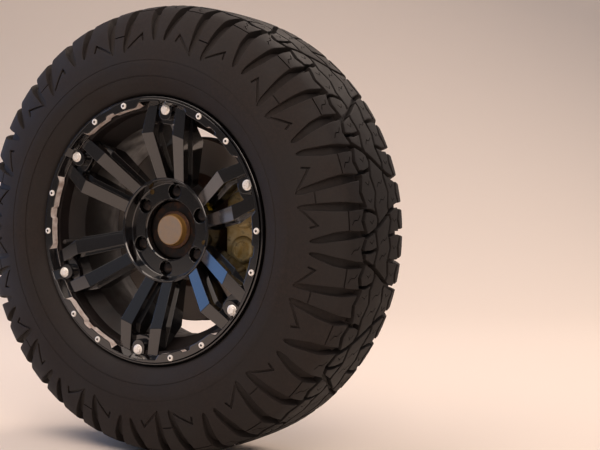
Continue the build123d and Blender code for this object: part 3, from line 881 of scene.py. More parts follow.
class WHEEL_END_OT_tyre(bpy.types.Operator):
    """Model the tyre: a moulded carcass and twelve pitches of tread rolled round it"""

    bl_idname = "wheel_end.tyre"
    bl_label = "Tyre"

    def execute(self, context):
        settings = context.scene.wheel_end_tyre
        pitch = self.make_pitch(settings)
        pitches = []
        start = FIRST_KEY_CLOCK
        for letter in PITCH_ORDER:
            pitches.append(self.roll(duplicate(pitch), start, PITCH_DEGREES[letter]))
            start += PITCH_DEGREES[letter]
        bpy.data.objects.remove(pitch)
        tread = join("tread", pitches)
        edit(tread)
        bpy.ops.mesh.remove_doubles(threshold=0.05 * MM)
        bpy.ops.mesh.normals_make_consistent(inside=False)
        tyre = join("mud_tyre", [self.make_carcass(), tread])
        dress(tyre, "wheel", [tread_rubber(settings)], ["tyre"], smooth=38.0)
        return {"FINISHED"}

    def make_pitch(self, settings):
        """One pitch of the tread, flat: a slab with its grooves, channels, hooks and sipes cut in it."""
        only()
        middle = flat(PITCH_LENGTH / 2, 0, (BAND_DEPTH + SLAB_ROOT) / 2)
        bpy.ops.mesh.primitive_cube_add(size=1, location=middle)
        slab = bpy.context.object
        bpy.ops.transform.resize(value=flat(PITCH_LENGTH, 2 * TREAD_EDGE, BAND_DEPTH - SLAB_ROOT))
        bpy.ops.object.transform_apply()
        shoulders = [shoulder_plan(*groove, side) for side in (1, -1) for groove in SHOULDER_GROOVES]
        channels = [zigzag(side * OUTER_WAY, OUTER_SWING, 8.0) for side in (1, -1)]
        channels += [zigzag(side * INNER_WAY, INNER_SWING, 6.0) for side in (1, -1)]
        # Cutters of one pass stay clear of one another, and those that cross are taken out in turn
        for plans in (shoulders, self.slanted_plans(), self.short_plans(), channels):
            cut_away(slab, [flat_cutter(plan, CUT_ROOT) for plan in plans])
        edit(slab)
        bpy.ops.mesh.dissolve_limited(angle_limit=math.radians(0.5))
        only(slab)
        hooks = [hook_plan(flip, side) for flip in (0, 1) for side in (1, -1)]
        cut_away(slab, [flat_cutter(plan, HOOK_FLOOR) for plan in hooks])
        self.round_tops(slab, settings.lug_bevel)
        lines = []
        for side in (1, -1):
            for start, stop, way, low in LUG_STEPS:
                step = strip([(start, side * way), (stop, side * way)], LUG_STEP_WIDTH)
                lines.append(flat_cutter(step, low))
        lines += [flat_cutter(plan, SIPE_FLOOR) for plan in self.sipe_plans(settings.sipe_width / MM)]
        cut_away(slab, lines)
        self.slice_up(slab)
        return slab

    def slanted_plans(self):
        """Plans of the long slots that slant across the crown from channel to channel."""
        plans = []
        for middle, lean in SLANTED_SLOTS:
            start = on_zigzag(middle - lean * 29, -OUTER_WAY, OUTER_SWING)
            stop = on_zigzag(middle + lean * 29, OUTER_WAY, OUTER_SWING)
            plans.append(strip([start, (middle - lean * 19, -34), (middle + lean * 19, 34), stop], 8.0))
        return plans

    def short_plans(self):
        """Plans of the short slots between the inner and the outer channel of a side."""
        plans = []
        for side, x, lean in SHORT_SLOTS:
            start = on_zigzag(x, side * INNER_WAY, INNER_SWING)
            stop = on_zigzag(x + lean, side * OUTER_WAY, OUTER_SWING)
            plans.append(strip([start, (x + lean, side * 44), stop], 6.5))
        return plans

    def sipe_plans(self, width):
        """Plans of the thin kinked cuts in the tread blocks and shoulder lugs."""
        lines = [[(x - 6, -12), (x, -4), (x - 2, 4), (x + 6, 12)] for x in MIDDLE_SIPES]
        for side, places in BLOCK_SIPES:
            lines += [[(x - 4, side * 36), (x + 3, side * 42), (x - 2, side * 50)] for x in places]
            for x in LUG_SIPES:
                lines.append([(x - 8, side * 77), (x, side * 83), (x, side * 91), (x + 8, side * 96)])
        return [strip(points, width) for points in lines]

    def round_tops(self, slab, width):
        """Rounds the top edges of the lugs, but not the two ends of the pitch."""
        top, end = (BAND_DEPTH - 0.1) * MM, PITCH_LENGTH * MM

        def is_top(edge):
            if any(v.co.z < top for v in edge.verts) or not edge.is_manifold:
                return False
            if any(all(abs(v.co.x - x) < WELD for v in edge.verts) for x in (0, end)):
                return False
            return edge.calc_face_angle() > 0.6

        edit(slab)
        pick(slab, "EDGE", is_top)
        bpy.ops.mesh.bevel(offset=width, segments=2, affect="EDGES", clamp_overlap=False)
        bpy.ops.mesh.select_mode(type="VERT")
        only(slab)

    def slice_up(self, slab):
        """Cuts the slab into short lengths so that it can bend, and takes its two end faces away."""
        edit(slab)
        way = -TREAD_EDGE + 8
        # The lengths are shorter over the shoulders, where the tread bends most
        while way < TREAD_EDGE:
            bpy.ops.mesh.select_all(action="SELECT")
            bpy.ops.mesh.bisect(plane_co=(0, way * MM, 0), plane_no=(0, 1, 0))
            way += 6.0 if 70 < abs(way) < 160 else 9.0
        for k in range(1, PITCH_SLICES):
            bpy.ops.mesh.select_all(action="SELECT")
            bpy.ops.mesh.bisect(plane_co=(PITCH_LENGTH / PITCH_SLICES * k * MM, 0, 0), plane_no=(1, 0, 0))
        end = PITCH_LENGTH * MM
        pick(slab, "FACE", lambda face: abs(abs(face.calc_center_median().x - end / 2) - end / 2) < WELD)
        bpy.ops.mesh.delete(type="FACE")
        bpy.ops.mesh.select_mode(type="VERT")
        only(slab)

    def roll(self, piece, start, degrees):
        """Rolls a flat pitch onto the carcass, stretched to its share of the tyre."""
        for vertex in piece.data.vertices:
            clock = start + vertex.co.x / MM / PITCH_LENGTH * degrees
            depth, radius = tread_point(vertex.co.y / MM, vertex.co.z / MM)
            vertex.co = at_clock(clock, radius, depth)
        return piece

    def make_carcass(self):
        """Carcass from bead to bead, with its bead bulge and the fine line above it."""
        side = [tread_point(TREAD_EDGE * k / 24, 0) for k in range(25)]
        side += [
            (-15.6, 292), (-15.2, 284), (-13.6, 274), (-12.6, 270.2), (-11.4, 270.0), (-11.0, 268.6),
            (-11.6, 267.6), (-9.6, 261), (-5.2, 253), (-1.2, 247.5), (1.6, 243.6), (4.6, 240.6),
            (8.5, 238.4), (13, 237.4), (18.7, 236), (18.7, 219.9), (22, 219.2), (40, 219.2),
            (41.5, 222), (20, 245), (4, 285), (4, 310), (20, 350), (40, 374), (80, 381),
        ]
        far = [(2 * TYRE_CENTRE - depth, radius) for depth, radius in side[:0:-1]]
        return lathe("carcass", side + [(TYRE_CENTRE, 382)] + far, steps=192)


RIM_SECTION = [
    (2.4, 231.6), (2.4, 234.6), (4.0, 235.6), (9.4, 235.6), (14.0, 234.4), (17.4, 231.4),
    (18.4, 228.0), (18.4, 218.3), (44, 218.3), (66, 199.5), (70, 198), (138, 198), (184, 217.6),
    (187, 218.3), (221.6, 218.3), (221.6, 228), (226, 233.4), (233.6, 235.6), (236.0, 232),
    (234.0, 229), (227.5, 224), (226.6, 214), (224, 212.6), (184, 212.6), (140, 192.5), (66, 192.5),
    (42, 213), (18, 213), (18, 221.5), (6.4, 227.2), (6.4, 231.6),
]

# Bolted ring: outer radius and back depth, and the radii to which its back corners draw in
RING_OUTER = 230.8
RING_BACK = 15.3
OUTER_BACK = 222.6
RECESS_BACK = 219.5
OUTER_STEP = 2.5

# Radii inside which the barrel is dull and the ring's lands are bare
DULL_REACH = 221.0
LAND_REACH = 222.4


def ring_plan():
    """Inner outline of one sixth of the bolted ring, as clock angle and radius, mirrored about its middle."""
    inner = [
        (0.0, 229.0), (2.1, 229.0), (2.15, 226.3), (7.0, 226.3), (12.4, 226.0), (13.0, 223.0),
        (14.3, 217.6), (15.2, 216.3), (19.0, 216.3), (23.0, 216.3), (27.2, 216.3), (27.9, 220.8),
        (30.0, 221.2),
    ]
    return inner + [(PAIR_PITCH - clock, radius) for clock, radius in inner[-2::-1]]


class WHEEL_END_OT_rim(bpy.types.Operator):
    """Model the rim barrel and the bolted ring with its machined lands"""

    bl_idname = "wheel_end.rim"
    bl_label = "Rim and bolted ring"

    def execute(self, context):
        settings = context.scene.wheel_end_rim
        paint = gloss_paint(settings)
        barrel = lathe("rim_shell", RIM_SECTION, steps=180)
        round_edges(barrel, settings.edge_bevel, angle=35)
        mark_faces(barrel, lambda centre, normal: axle_reach(centre) < DULL_REACH)
        dress(barrel, "wheel", [paint, satin_paint()], ["rim_barrel"])
        ring = self.make_ring(settings)
        dress(ring, "wheel", [paint, bare_alloy(settings)], ["clamp_ring"], smooth=20.0)
        return {"FINISHED"}

    def make_ring(self, settings):
        """One sixth of the ring, drawn in plan, extruded and sloped, then copied round the axle."""
        outer = [(PAIR_PITCH - OUTER_STEP * k, RING_OUTER) for k in range(int(PAIR_PITCH / OUTER_STEP) + 1)]
        plan = ring_plan() + outer
        piece = draw_outline("bolted_ring", [at_clock(clock, radius, 0) for clock, radius in plan])
        bpy.ops.mesh.edge_face_add()
        extrude_by((0, RING_BACK * MM, 0))
        close_up(piece)
        self.slope_recess(piece)
        edit(piece)
        pick(piece, "FACE", self.is_seam)
        bpy.ops.mesh.delete(type="FACE")
        bpy.ops.mesh.select_mode(type="VERT")
        ring = join("bolted_ring", copies(piece, PAIR_CLOCKS))
        close_up(ring)
        round_edges(ring, settings.edge_bevel, angle=22)
        mark_faces(ring, self.is_machined)
        return ring

    def slope_recess(self, piece):
        """Draws the ring's back corners in, so that its walls lean and its back clears the rim's seat."""
        edit(piece)
        half_way = y_at(RING_BACK / 2)
        radii = {radius for clock, radius in ring_plan() if radius > RECESS_BACK}
        for radius in sorted(radii | {RING_OUTER}):
            pick(piece, "VERT", lambda v: v.co.y > half_way and abs(axle_reach(v.co) - radius) < 0.05)
            ratio = (OUTER_BACK if radius == RING_OUTER else RECESS_BACK) / radius
            bpy.ops.transform.resize(value=(ratio, 1, ratio), center_override=(0, 0, 0))
        bpy.ops.mesh.select_mode(type="FACE")

    def is_seam(self, face):
        """The two flat ends of the sixth."""
        centre = face.calc_center_median()
        clock = math.degrees(math.atan2(centre.x, centre.z))
        return min(abs(clock), abs(clock - PAIR_PITCH)) < 0.2

    def is_machined(self, centre, normal):
        """The walls of the lands, which stand square to the ring's face."""
        return abs(normal.y) < 0.35 and axle_reach(centre) < LAND_REACH


# Spoke and the ledge below it: sideways place and reach, beside an upright pair axis
SPOKE_PLAN = [(19.5, 219), (41, 216.5), (45, 166.5), (29.5, 88.5), (7.5, 88.5), (20.5, 171.5)]
LEDGE_PLAN = [(19.5, 217), (41, 214), (50.5, 165.5), (33.5, 84), (3, 84), (15.5, 172.5)]
LEAN = math.radians(11.5)

# Depths of a spoke's flat end, of its fall to the rim, of the root of its slope, and of the hub's faces
SPOKE_TOP = 13.5
TOP_FALL = 2.6
SLOPE_ROOT = 50.8
HUB_TOP = 50.0
PAD_FACE = 68.7
MOUNT_FACE = 91.0

# Reach along a spoke of its rim end and of its slope's crest and root; its back, as reach and depth
RIM_END = 217.0
CREST = 172.1
ROOT = 94.7
BACK_LINE = [(100, 88), (172, 68), (206, 42.5)]

# Plug screws in the hub pad: name, clock angle and reach
PAD_PLUGS = [("pad_plug_1", -31.0, 79.0), ("pad_plug_2", 105.0, 77.0)]

# Boss of a big bolt, and the web between twin spokes
BOSS_REACH = 208.0
BOSS_RADIUS = 13.2
WEB_PLAN = [(-20.5, 214), (20.5, 214), (20.5, 192), (8, 188), (-8, 188), (-20.5, 192)]


class WHEEL_END_OT_centre(bpy.types.Operator):
    """Model the wheel's cast centre: hub pad, twelve spokes in twin pairs and bosses of the big bolts"""

    bl_idname = "wheel_end.centre"
    bl_label = "Wheel centre"

    def execute(self, context):
        settings = context.scene.wheel_end_rim
        pair = self.make_pair(settings)
        pieces = [self.make_hub()] + copies(pair, PAIR_CLOCKS)
        centre = join("wheel_centre", pieces)
        paint = earlier_finish("gloss_black_paint")
        dress(centre, "wheel", [paint], ["hub_pad", "spokes", "bolt_bosses"], smooth=24.0)
        self.make_plugs()
        self.make_mark(settings)
        return {"FINISHED"}

    def spoke_bar(self, name, plan, drop):
        """Bar with that plan, sliced to the spoke's sloping face and flat end and to its back."""
        bar = block(name, plan, SPOKE_TOP + drop, MOUNT_FACE)
        front = [(ROOT, SLOPE_ROOT), (CREST, SPOKE_TOP), (RIM_END, SPOKE_TOP + TOP_FALL)]
        front = [(reach, depth + drop) for reach, depth in front]
        for line, outwards in ((front, -1), (BACK_LINE, 1)):
            for near, far in zip(line, line[1:]):
                self.slice_along(bar, near, far, outwards)
        return bar

    def slice_along(self, bar, near, far, outwards):
        """Takes off what lies past a line of reach and depth, on its -1 outer or 1 inner side."""
        along = Vector((math.sin(LEAN), 0, math.cos(LEAN)))
        across = Vector((math.cos(LEAN), 0, -math.sin(LEAN)))
        start, stop = (along * reach * MM + Vector((0, y_at(depth), 0)) for reach, depth in (near, far))
        normal = (stop - start).cross(across).normalized()
        slice_off(bar, start, normal if normal.y * outwards > 0 else -normal)

    def make_pair(self, settings):
        """Two mirrored spokes with their lower ledges, and the boss and web between them."""
        top = round_edges(self.spoke_bar("spoke", SPOKE_PLAN, 0.0), settings.edge_bevel)
        ledge = round_edges(self.spoke_bar("ledge", LEDGE_PLAN, 20.0), settings.edge_bevel)
        half = join("spoke", [top, ledge])
        twin = duplicate(half)
        bpy.ops.transform.mirror(constraint_axis=(True, False, False), center_override=(0, 0, 0))
        bpy.ops.object.transform_apply()
        close_up(twin)
        outline = [(-BOSS_RADIUS, 219.5), (BOSS_RADIUS, 219.5)]
        for turned_by in range(0, 181, 15):
            angle = math.radians(turned_by)
            outline.append((BOSS_RADIUS * math.cos(angle), BOSS_REACH - BOSS_RADIUS * math.sin(angle)))
        boss = round_edges(block("boss", outline, SPOKE_TOP, 36), 1.2 * MM)
        web = round_edges(block("web", WEB_PLAN, 24, 36), 1.5 * MM)
        return join("spoke_pair", [half, twin, boss, web])

    def make_hub(self):
        """Hub pad inside its raised collar, with a pocket for each nut."""
        rows = [
            (MOUNT_FACE, 53.0), (72.0, 53.0), (70.2, 55.0), (PAD_FACE, 55.6), (PAD_FACE, 83.4),
            (PAD_FACE - 1.2, 84.8), (HUB_TOP + 2, 88.4), (HUB_TOP, 90.2), (HUB_TOP, 92.6),
            (HUB_TOP + 1.6, 94.0), (MOUNT_FACE, 94.0),
        ]
        hub = lathe("hub_pad", rows, steps=144)
        pocket_rows = [(60, 14.3), (PAD_FACE - 0.4, 14.3), (PAD_FACE + 0.9, 13.3), (84, 13.3)]
        pocket = turned("pocket", pocket_rows, sides=40)
        shift(pocket, (0, 0, STUD_REACH * MM))
        cut_away(hub, copies(pocket, PAIR_CLOCKS))
        # Shallow scallops between the spoke pairs, cut down into the collar's crest
        scallop_rows = [(HUB_TOP - 8, 0.1), (HUB_TOP - 7.9, 30), (HUB_TOP + 2.6, 30)]
        scallop = turned("scallop", scallop_rows, sides=40)
        shift(scallop, (0, 0, 118 * MM))
        cut_away(hub, copies(scallop, [clock + PAIR_PITCH / 2 for clock in PAIR_CLOCKS]))
        round_edges(hub, 0.5 * MM, angle=30)
        return hub

    def make_plugs(self):
        """Two small countersunk plug screws in the pad."""
        brass = plug_brass()
        for name, clock, reach in PAD_PLUGS:
            rows = [
                (PAD_FACE + 1.0, 4.9), (PAD_FACE - 0.6, 4.9), (PAD_FACE - 1.0, 4.6),
                (PAD_FACE - 1.0, 3.7), (PAD_FACE - 0.2, 3.5), (PAD_FACE - 0.2, 3.3),
                (PAD_FACE - 0.8, 2.6), (PAD_FACE - 0.8, 0.8),
            ]
            plug = turned(name, rows)
            shift(plug, (0, 0, reach * MM))
            turn(plug, clock)
            dress(plug, "wheel", [brass])

    def make_mark(self, settings):
        """Brush stroke of inspection paint on the side of the hub pad."""
        rows = [(64.2, 93.6), (64.8, 94.5), (75.6, 94.5), (76.4, 93.6)]
        mark = lathe("inspection_mark", rows, steps=6, start=60.4, sweep=6.0)
        round_edges(mark, 0.3 * MM)
        dress(mark, "wheel", [mark_paint(settings)])


# Place of the valve in the rim
VALVE_REACH = 203.0
VALVE_CLOCK = 262.0


class WHEEL_END_OT_fasteners(bpy.types.Operator):
    """Model the ring screws, the big spoke bolts, the wheel nuts and the valve"""

    bl_idname = "wheel_end.fasteners"
    bl_label = "Fasteners and valve"

    def execute(self, context):
        settings = context.scene.wheel_end_fasteners
        zinc, steel = zinc_plate(settings), black_steel(settings)
        # The black steel finish is the nuts' own colour; in the ring screws it paints the shade inside their
        # hexagon holes
        self.make_screws(settings, zinc, steel)
        self.make_bolts(settings, zinc)
        self.make_nuts(steel)
        self.make_valve(context.scene.wheel_end_tyre)
        return {"FINISHED"}

    def make_screws(self, settings, zinc, painted_socket_shade):
        """Twelve button-head screws with a hexagon key hole, seated on the bolted ring; the hole gets painted
        shade.
        """
        rows = [
            (0.4, 5.5), (-0.7, 5.5), (-1.6, 5.1), (-2.1, 4.3), (-2.2, 2.6), (-2.1, 0, 4.0),
            (-0.6, 0, 3.8),
        ]
        screw = turned("ring_screw", rows)
        # Painted shade: the hexagon hole gets the black steel finish inside, to stand for the shade in the
        # recess
        mark_faces(screw, lambda centre, normal: axle_reach(centre) < 2.5 and centre.y > y_at(-2.0))
        shift(screw, (0, 0, settings.screw_reach))
        spread = math.degrees(settings.screw_spread)
        clocks = [clock + side * spread for clock in PAIR_CLOCKS for side in (-1, 1)]
        dress_round(screw, clocks, [zinc, painted_socket_shade])

    def make_bolts(self, settings, zinc):
        """Six hexagon flange bolts, one at the head of each spoke pair."""
        rows = [
            (SPOKE_TOP + 0.4, 9.3), (SPOKE_TOP - 0.8, 9.3), (SPOKE_TOP - 1.6, 8.6),
            (SPOKE_TOP - 2.1, 7.4), (SPOKE_TOP - 2.3, 0, 12.0), (SPOKE_TOP - 4.6, 0, 12.0),
            (SPOKE_TOP - 5.2, 5.6), (SPOKE_TOP - 5.2, 1.0),
        ]
        bolt = turned("spoke_bolt", rows)
        shift(bolt, (0, 0, settings.bolt_reach))
        made = dress_round(bolt, PAIR_CLOCKS, [zinc])
        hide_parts("spoke_bolts")

    def make_nuts(self, steel):
        """Six closed nuts with a cone seat, down in the pockets of the hub pad."""
        rows = [
            (84.4, 11.8), (83.0, 11.8), (81.4, 10.6), (81.2, 0, 19.0), (76.2, 0, 19.0), (75.0, 9.2),
            (74.2, 7.6), (73.8, 5.6), (73.6, 2.0),
        ]
        nut = turned("wheel_nut", rows)
        shift(nut, (0, 0, STUD_REACH * MM))
        made = dress_round(nut, PAIR_CLOCKS, [steel])
        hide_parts("wheel_nuts")

    def make_valve(self, settings):
        """Rubber valve stem with its moulded collar and a ribbed cap."""
        rows = [
            (54, 6.4), (50, 6.4), (40, 5.6), (33, 4.4), (29, 3.7), (28, 3.0), (27.4, 3.0), (27, 4.5),
            (25.4, 4.5), (24.8, 4.1), (24.2, 4.5), (22.6, 4.5), (22.0, 4.1), (21.4, 4.5), (19.4, 4.4),
            (17.4, 3.8), (16.4, 2.4),
        ]
        valve = turned("valve", rows, sides=28)
        shift(valve, (0, 0, VALVE_REACH * MM))
        turn(valve, VALVE_CLOCK)
        dress(valve, "wheel", [valve_rubber(settings)], ["valve_stem"])


class WHEEL_END_OT_hub(bpy.types.Operator):
    """Model the wheel hub with its studs and the pressed cap in its middle"""

    bl_idname = "wheel_end.hub"
    bl_label = "Hub and cap"

    def execute(self, context):
        settings = context.scene.wheel_end_brake
        steel = forged_steel(settings)
        rows = [
            (85.4, 26.2), (84, 27.6), (84, 50.6), (86, 52.4), (98, 52.4), (98, 77.4), (99, 78),
            (109, 78), (110, 76.8), (112.4, 52), (118, 33.6), (119.6, 24), (197.4, 24), (198, 23.2),
            (198, 15), (118, 15), (110, 26.2),
        ]
        hub = lathe("hub_body", rows, steps=96)
        round_edges(hub, 0.8 * MM, angle=30)
        stud = turned("stud", [(100, 6.0), (79, 6.0), (77.4, 5.2)])
        shift(stud, (0, 0, STUD_REACH * MM))
        hub = join("hub_body", [hub] + copies(stud, PAIR_CLOCKS))
        dress(hub, "wheel", [steel], ["wheel_hub"])
        cap_rows = [
            (93, 25.4), (84, 25.4), (84, 33.6), (83.2, 34.4), (81.6, 34.4), (80.6, 33.4), (80.2, 31.4),
            (79.4, 29.4), (77.6, 28.2), (74, 27.7), (69.6, 27.5), (68.1, 27.0), (67.2, 26.0),
            (67.0, 24.6), (67.5, 23.4), (67.5, 12.0), (67.5, 1.0),
        ]
        cap = turned("cap_shell", cap_rows, sides=96)
        dress(cap, "wheel", [cap_plate(settings)], ["hub_cap"])
        return {"FINISHED"}


# Vented disc: depths of its two swept faces, thickness of a plate, and its radius
DISC_FRONT = 134.0
DISC_BACK = 162.0
PLATE = 8.5
DISC_REACH = 169.0


class WHEEL_END_OT_brake(bpy.types.Operator):
    """Model the vented disc, the dust shield, the fixed caliper and its pads"""

    bl_idname = "wheel_end.brake"
    bl_label = "Brake"

    def execute(self, context):
        settings = context.scene.wheel_end_brake
        self.make_disc(settings)
        self.make_shield()
        self.make_caliper(settings)
        self.make_pads()
        return {"FINISHED"}

    def make_disc(self, settings):
        """Hat and two friction plates with vanes between them."""
        hat_rows = [
            (91, 53.8), (91, 84.4), (93.4, 87), (DISC_FRONT - 3, 87), (DISC_FRONT, 90),
            (DISC_FRONT, DISC_REACH - 1), (DISC_FRONT + 1, DISC_REACH),
            (DISC_FRONT + PLATE, DISC_REACH), (DISC_FRONT + PLATE, 96), (DISC_FRONT + 10, 82),
            (DISC_FRONT + 10, 80.2), (98, 80.2), (98, 53.8),
        ]
        hat = round_edges(lathe("hat", hat_rows, steps=144), 0.6 * MM)
        plate_rows = [
            (DISC_BACK - PLATE, 98), (DISC_BACK - PLATE, DISC_REACH), (DISC_BACK - 1, DISC_REACH),
            (DISC_BACK, DISC_REACH - 1), (DISC_BACK, 98),
        ]
        plate = lathe("plate", plate_rows, steps=144)
        # The vanes are let half a millimetre into both plates
        ends = DISC_FRONT + PLATE - 0.5, DISC_BACK - PLATE + 0.5
        vane = block("vane", [(-2, 99), (2, 99), (3, 166), (-3, 166)], *ends)
        vanes = copies(vane, [360 / settings.vane_count * k for k in range(settings.vane_count)])
        disc = join("vented_disc", [hat, plate] + vanes)
        dress(disc, "wheel", [disc_iron(settings)], ["brake_disc"])

    def make_shield(self):
        """Pressed sheet behind the disc, open at the caliper, with a rolled edge and a stiffening swage."""
        rows = [
            (174.6, 49), (174.6, 70), (168.6, 79), (168.6, 118), (170.2, 122), (170.2, 132),
            (168.6, 136), (168.6, 169.5), (169.4, 171.4), (170.6, 170.4), (170.1, 169), (170.1, 136.6),
            (171.7, 132.4), (171.7, 121.6), (170.1, 117.4), (170.1, 79.6), (175.9, 71), (175.9, 49),
        ]
        shield = lathe("shield", rows, steps=120, start=125.5, sweep=289.0)
        neck = lathe("neck", [(174.6, 49), (174.6, 70), (175.9, 70), (175.9, 49)], steps=96)
        shield = join("brake_shield", [shield, neck])
        dress(shield, "knuckle", [plated_sheet()], ["dust_shield"])

    def make_caliper(self, settings):
        """Two cast halves over the disc, with round piston housings, bridge arms, lugs and their screws."""
        outline = [(-70, 114), (-56, 100), (56, 100), (70, 114), (78, 168)]
        outline += [(62, 175), (34, 182.6), (-34, 182.6), (-62, 175), (-78, 168)]
        front = round_edges(block("front_half", outline, 99.5, 121.2, rearward), 5 * MM, segments=3)
        inner_outline = [(-70, 142), (-56, 128), (56, 128), (70, 142)] + outline[4:]
        back = round_edges(block("back_half", inner_outline, 174.8, 206, rearward), 5 * MM, segments=3)
        pieces = [front, back]
        for side in (-1, 1):
            arm = [(33, 173), (33, 182.6), (62, 175), (77.4, 168), (72, 160)]
            arm = block("arm", [(side * x, y) for x, y in arm], 116, 178, rearward)
            pieces.append(round_edges(arm, 1.6 * MM))
            lug = [(40, 134), (40, 92), (48, 82.6), (60, 82.6), (68, 92), (68, 146)]
            lug = block("lug", [(side * x, y) for x, y in lug], 188, 203, rearward)
            pieces.append(round_edges(lug, 2 * MM))
            pieces += self.make_housing(side)
        caliper = join("caliper_body", pieces)
        dress(caliper, "knuckle", [caliper_zinc(settings)], ["brake_caliper"], smooth=40.0)

    def make_housing(self, side):
        """Round piston housing with its raised rim, on each half, and two bridge screws."""
        made = []
        front_rows = [(104, 25.6), (97.5, 24.6), (94.2, 22.6), (92.2, 18.6), (92.2, 15.4)]
        front_rows += [(94.4, 13.6), (94.6, 1.0)]
        back_rows = [(200, 25), (204.4, 24.4), (205.8, 22.6), (205.8, 4)]
        for rows in (front_rows, back_rows):
            made.append(shift(turned("housing", rows, sides=48), (137 * MM, 0, -side * 31 * MM)))
        for down, reach in ((side * 66, 158), (side * 8, 172)):
            head = [(101, 6.4), (98.6, 6.4), (98.2, 0, 10.4), (94.6, 0, 10.4), (93.8, 4.6)]
            made.append(shift(turned("screw", head), (reach * MM, 0, -down * MM)))
        return made

    def make_pads(self):
        """Two linings on their steel backing plates."""
        lining_plan = [(-50, 117), (50, 117), (55, 152), (30, 162), (-30, 162), (-55, 152)]
        backing_plan = [(-52, 116), (52, 116), (57, 154), (30, 164), (-30, 164), (-57, 154)]
        linings, backings = [], []
        for face, away in ((DISC_FRONT - 0.3, -1), (DISC_BACK + 0.3, 1)):
            linings.append(block("lining", lining_plan, face, face + away * 7, rearward))
            backings.append(block("backing", backing_plan, face + away * 7, face + away * 12.2, rearward))
        lining = round_edges(join("pad_linings", linings), 0.6 * MM)
        dress(lining, "knuckle", [pad_lining()], ["brake_pads"])
        backing = round_edges(join("pad_backings", backings), 0.6 * MM)
        dress(backing, "knuckle", [earlier_finish("black_oxide_steel")])


class WHEEL_END_OT_knuckle(bpy.types.Operator):
    """Model the knuckle, its bearing housing and the bolts on its back"""

    bl_idname = "wheel_end.knuckle"
    bl_label = "Knuckle"

    def execute(self, context):
        settings = context.scene.wheel_end_brake
        iron = knuckle_iron(settings)
        knuckle = self.soften(frame["nodes"]["knuckle"], "cast_knuckle", 2.0 * MM)
        dress(knuckle, "knuckle", [iron], ["knuckle"])
        rows = [
            (120, 24.2), (120, 42.4), (121.4, 44), (162.5, 44), (162.5, 65), (163.4, 66), (173.4, 66),
            (174.5, 65), (174.5, 48), (197, 48), (197, 36), (194, 34), (194, 24.2),
        ]
        housing = round_edges(lathe("housing_body", rows, steps=96), 0.6 * MM)
        dress(housing, "knuckle", [iron], ["bearing_housing"])
        steel = earlier_finish("black_oxide_steel")
        dress(self.make_bolts(), "knuckle", [steel], ["knuckle_bolts"])
        return {"FINISHED"}

    def soften(self, node, name, width):
        """Copy of a node with its triangles joined up and its edges rounded as cast."""
        piece = duplicate(node)
        piece.parent = None
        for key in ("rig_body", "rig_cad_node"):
            if key in piece:
                del piece[key]
        piece.name = piece.data.name = name
        edit(piece)
        bpy.ops.mesh.remove_doubles(threshold=WELD)
        bpy.ops.mesh.dissolve_limited(angle_limit=math.radians(1.0))
        only(piece)
        return round_edges(piece, width, segments=3, angle=30)

    def make_bolts(self):
        """Hexagon heads: two hold the caliper and four the bearing housing."""
        made = []
        for side in (-1, 1):
            rows = [(202.8, 11.5), (204.6, 11.5), (204.8, 0, 18), (210, 0, 18), (211, 8.2)]
            head = turned("head", rows)
            made.append(shift(head, (96 * MM, 0, -side * 54 * MM)))
        rows = [(197.8, 9.6), (199.2, 9.6), (199.4, 0, 16), (204, 0, 16), (205, 7.2)]
        head = turned("head", rows)
        shift(head, (0, 0, 57 * MM))
        return join("bolt_heads", made + copies(head, [45, 135, 225, 315]))


# Lamps: place, power in watts and size in metres. The last one throws the blue of the open sky
LAMPS = [
    ("key_lamp", (2.4, -2.6, 2.6), 85.0, 2.4),
    ("front_lamp", (-0.8, -1.6, 3.4), 80.0, 3.0),
    ("rear_lamp", (0.4, 2.4, 3.0), 90.0, 2.4),
    ("sky_lamp", (-3.32, -0.77, 0.87), 26.0, 2.4),
]

# Floor, in metres, just under the tyre, and the bend where it turns up into the backdrop
FLOOR_SIZE = 12.0
FLOOR_HEIGHT = -0.402
BACKDROP_HEIGHT = 6.0
BACKDROP_BEND = 3.0

# Camera, as fitted to the photograph
SENSOR_WIDTH = 36.0
CAMERA_PLACE = (1.278997, -1.927843, 0.089548)
CAMERA_RIGHT = Vector((0.868312, 0.495605, 0.020232))
CAMERA_UP = Vector((-0.034861, 0.020288, 0.999186))


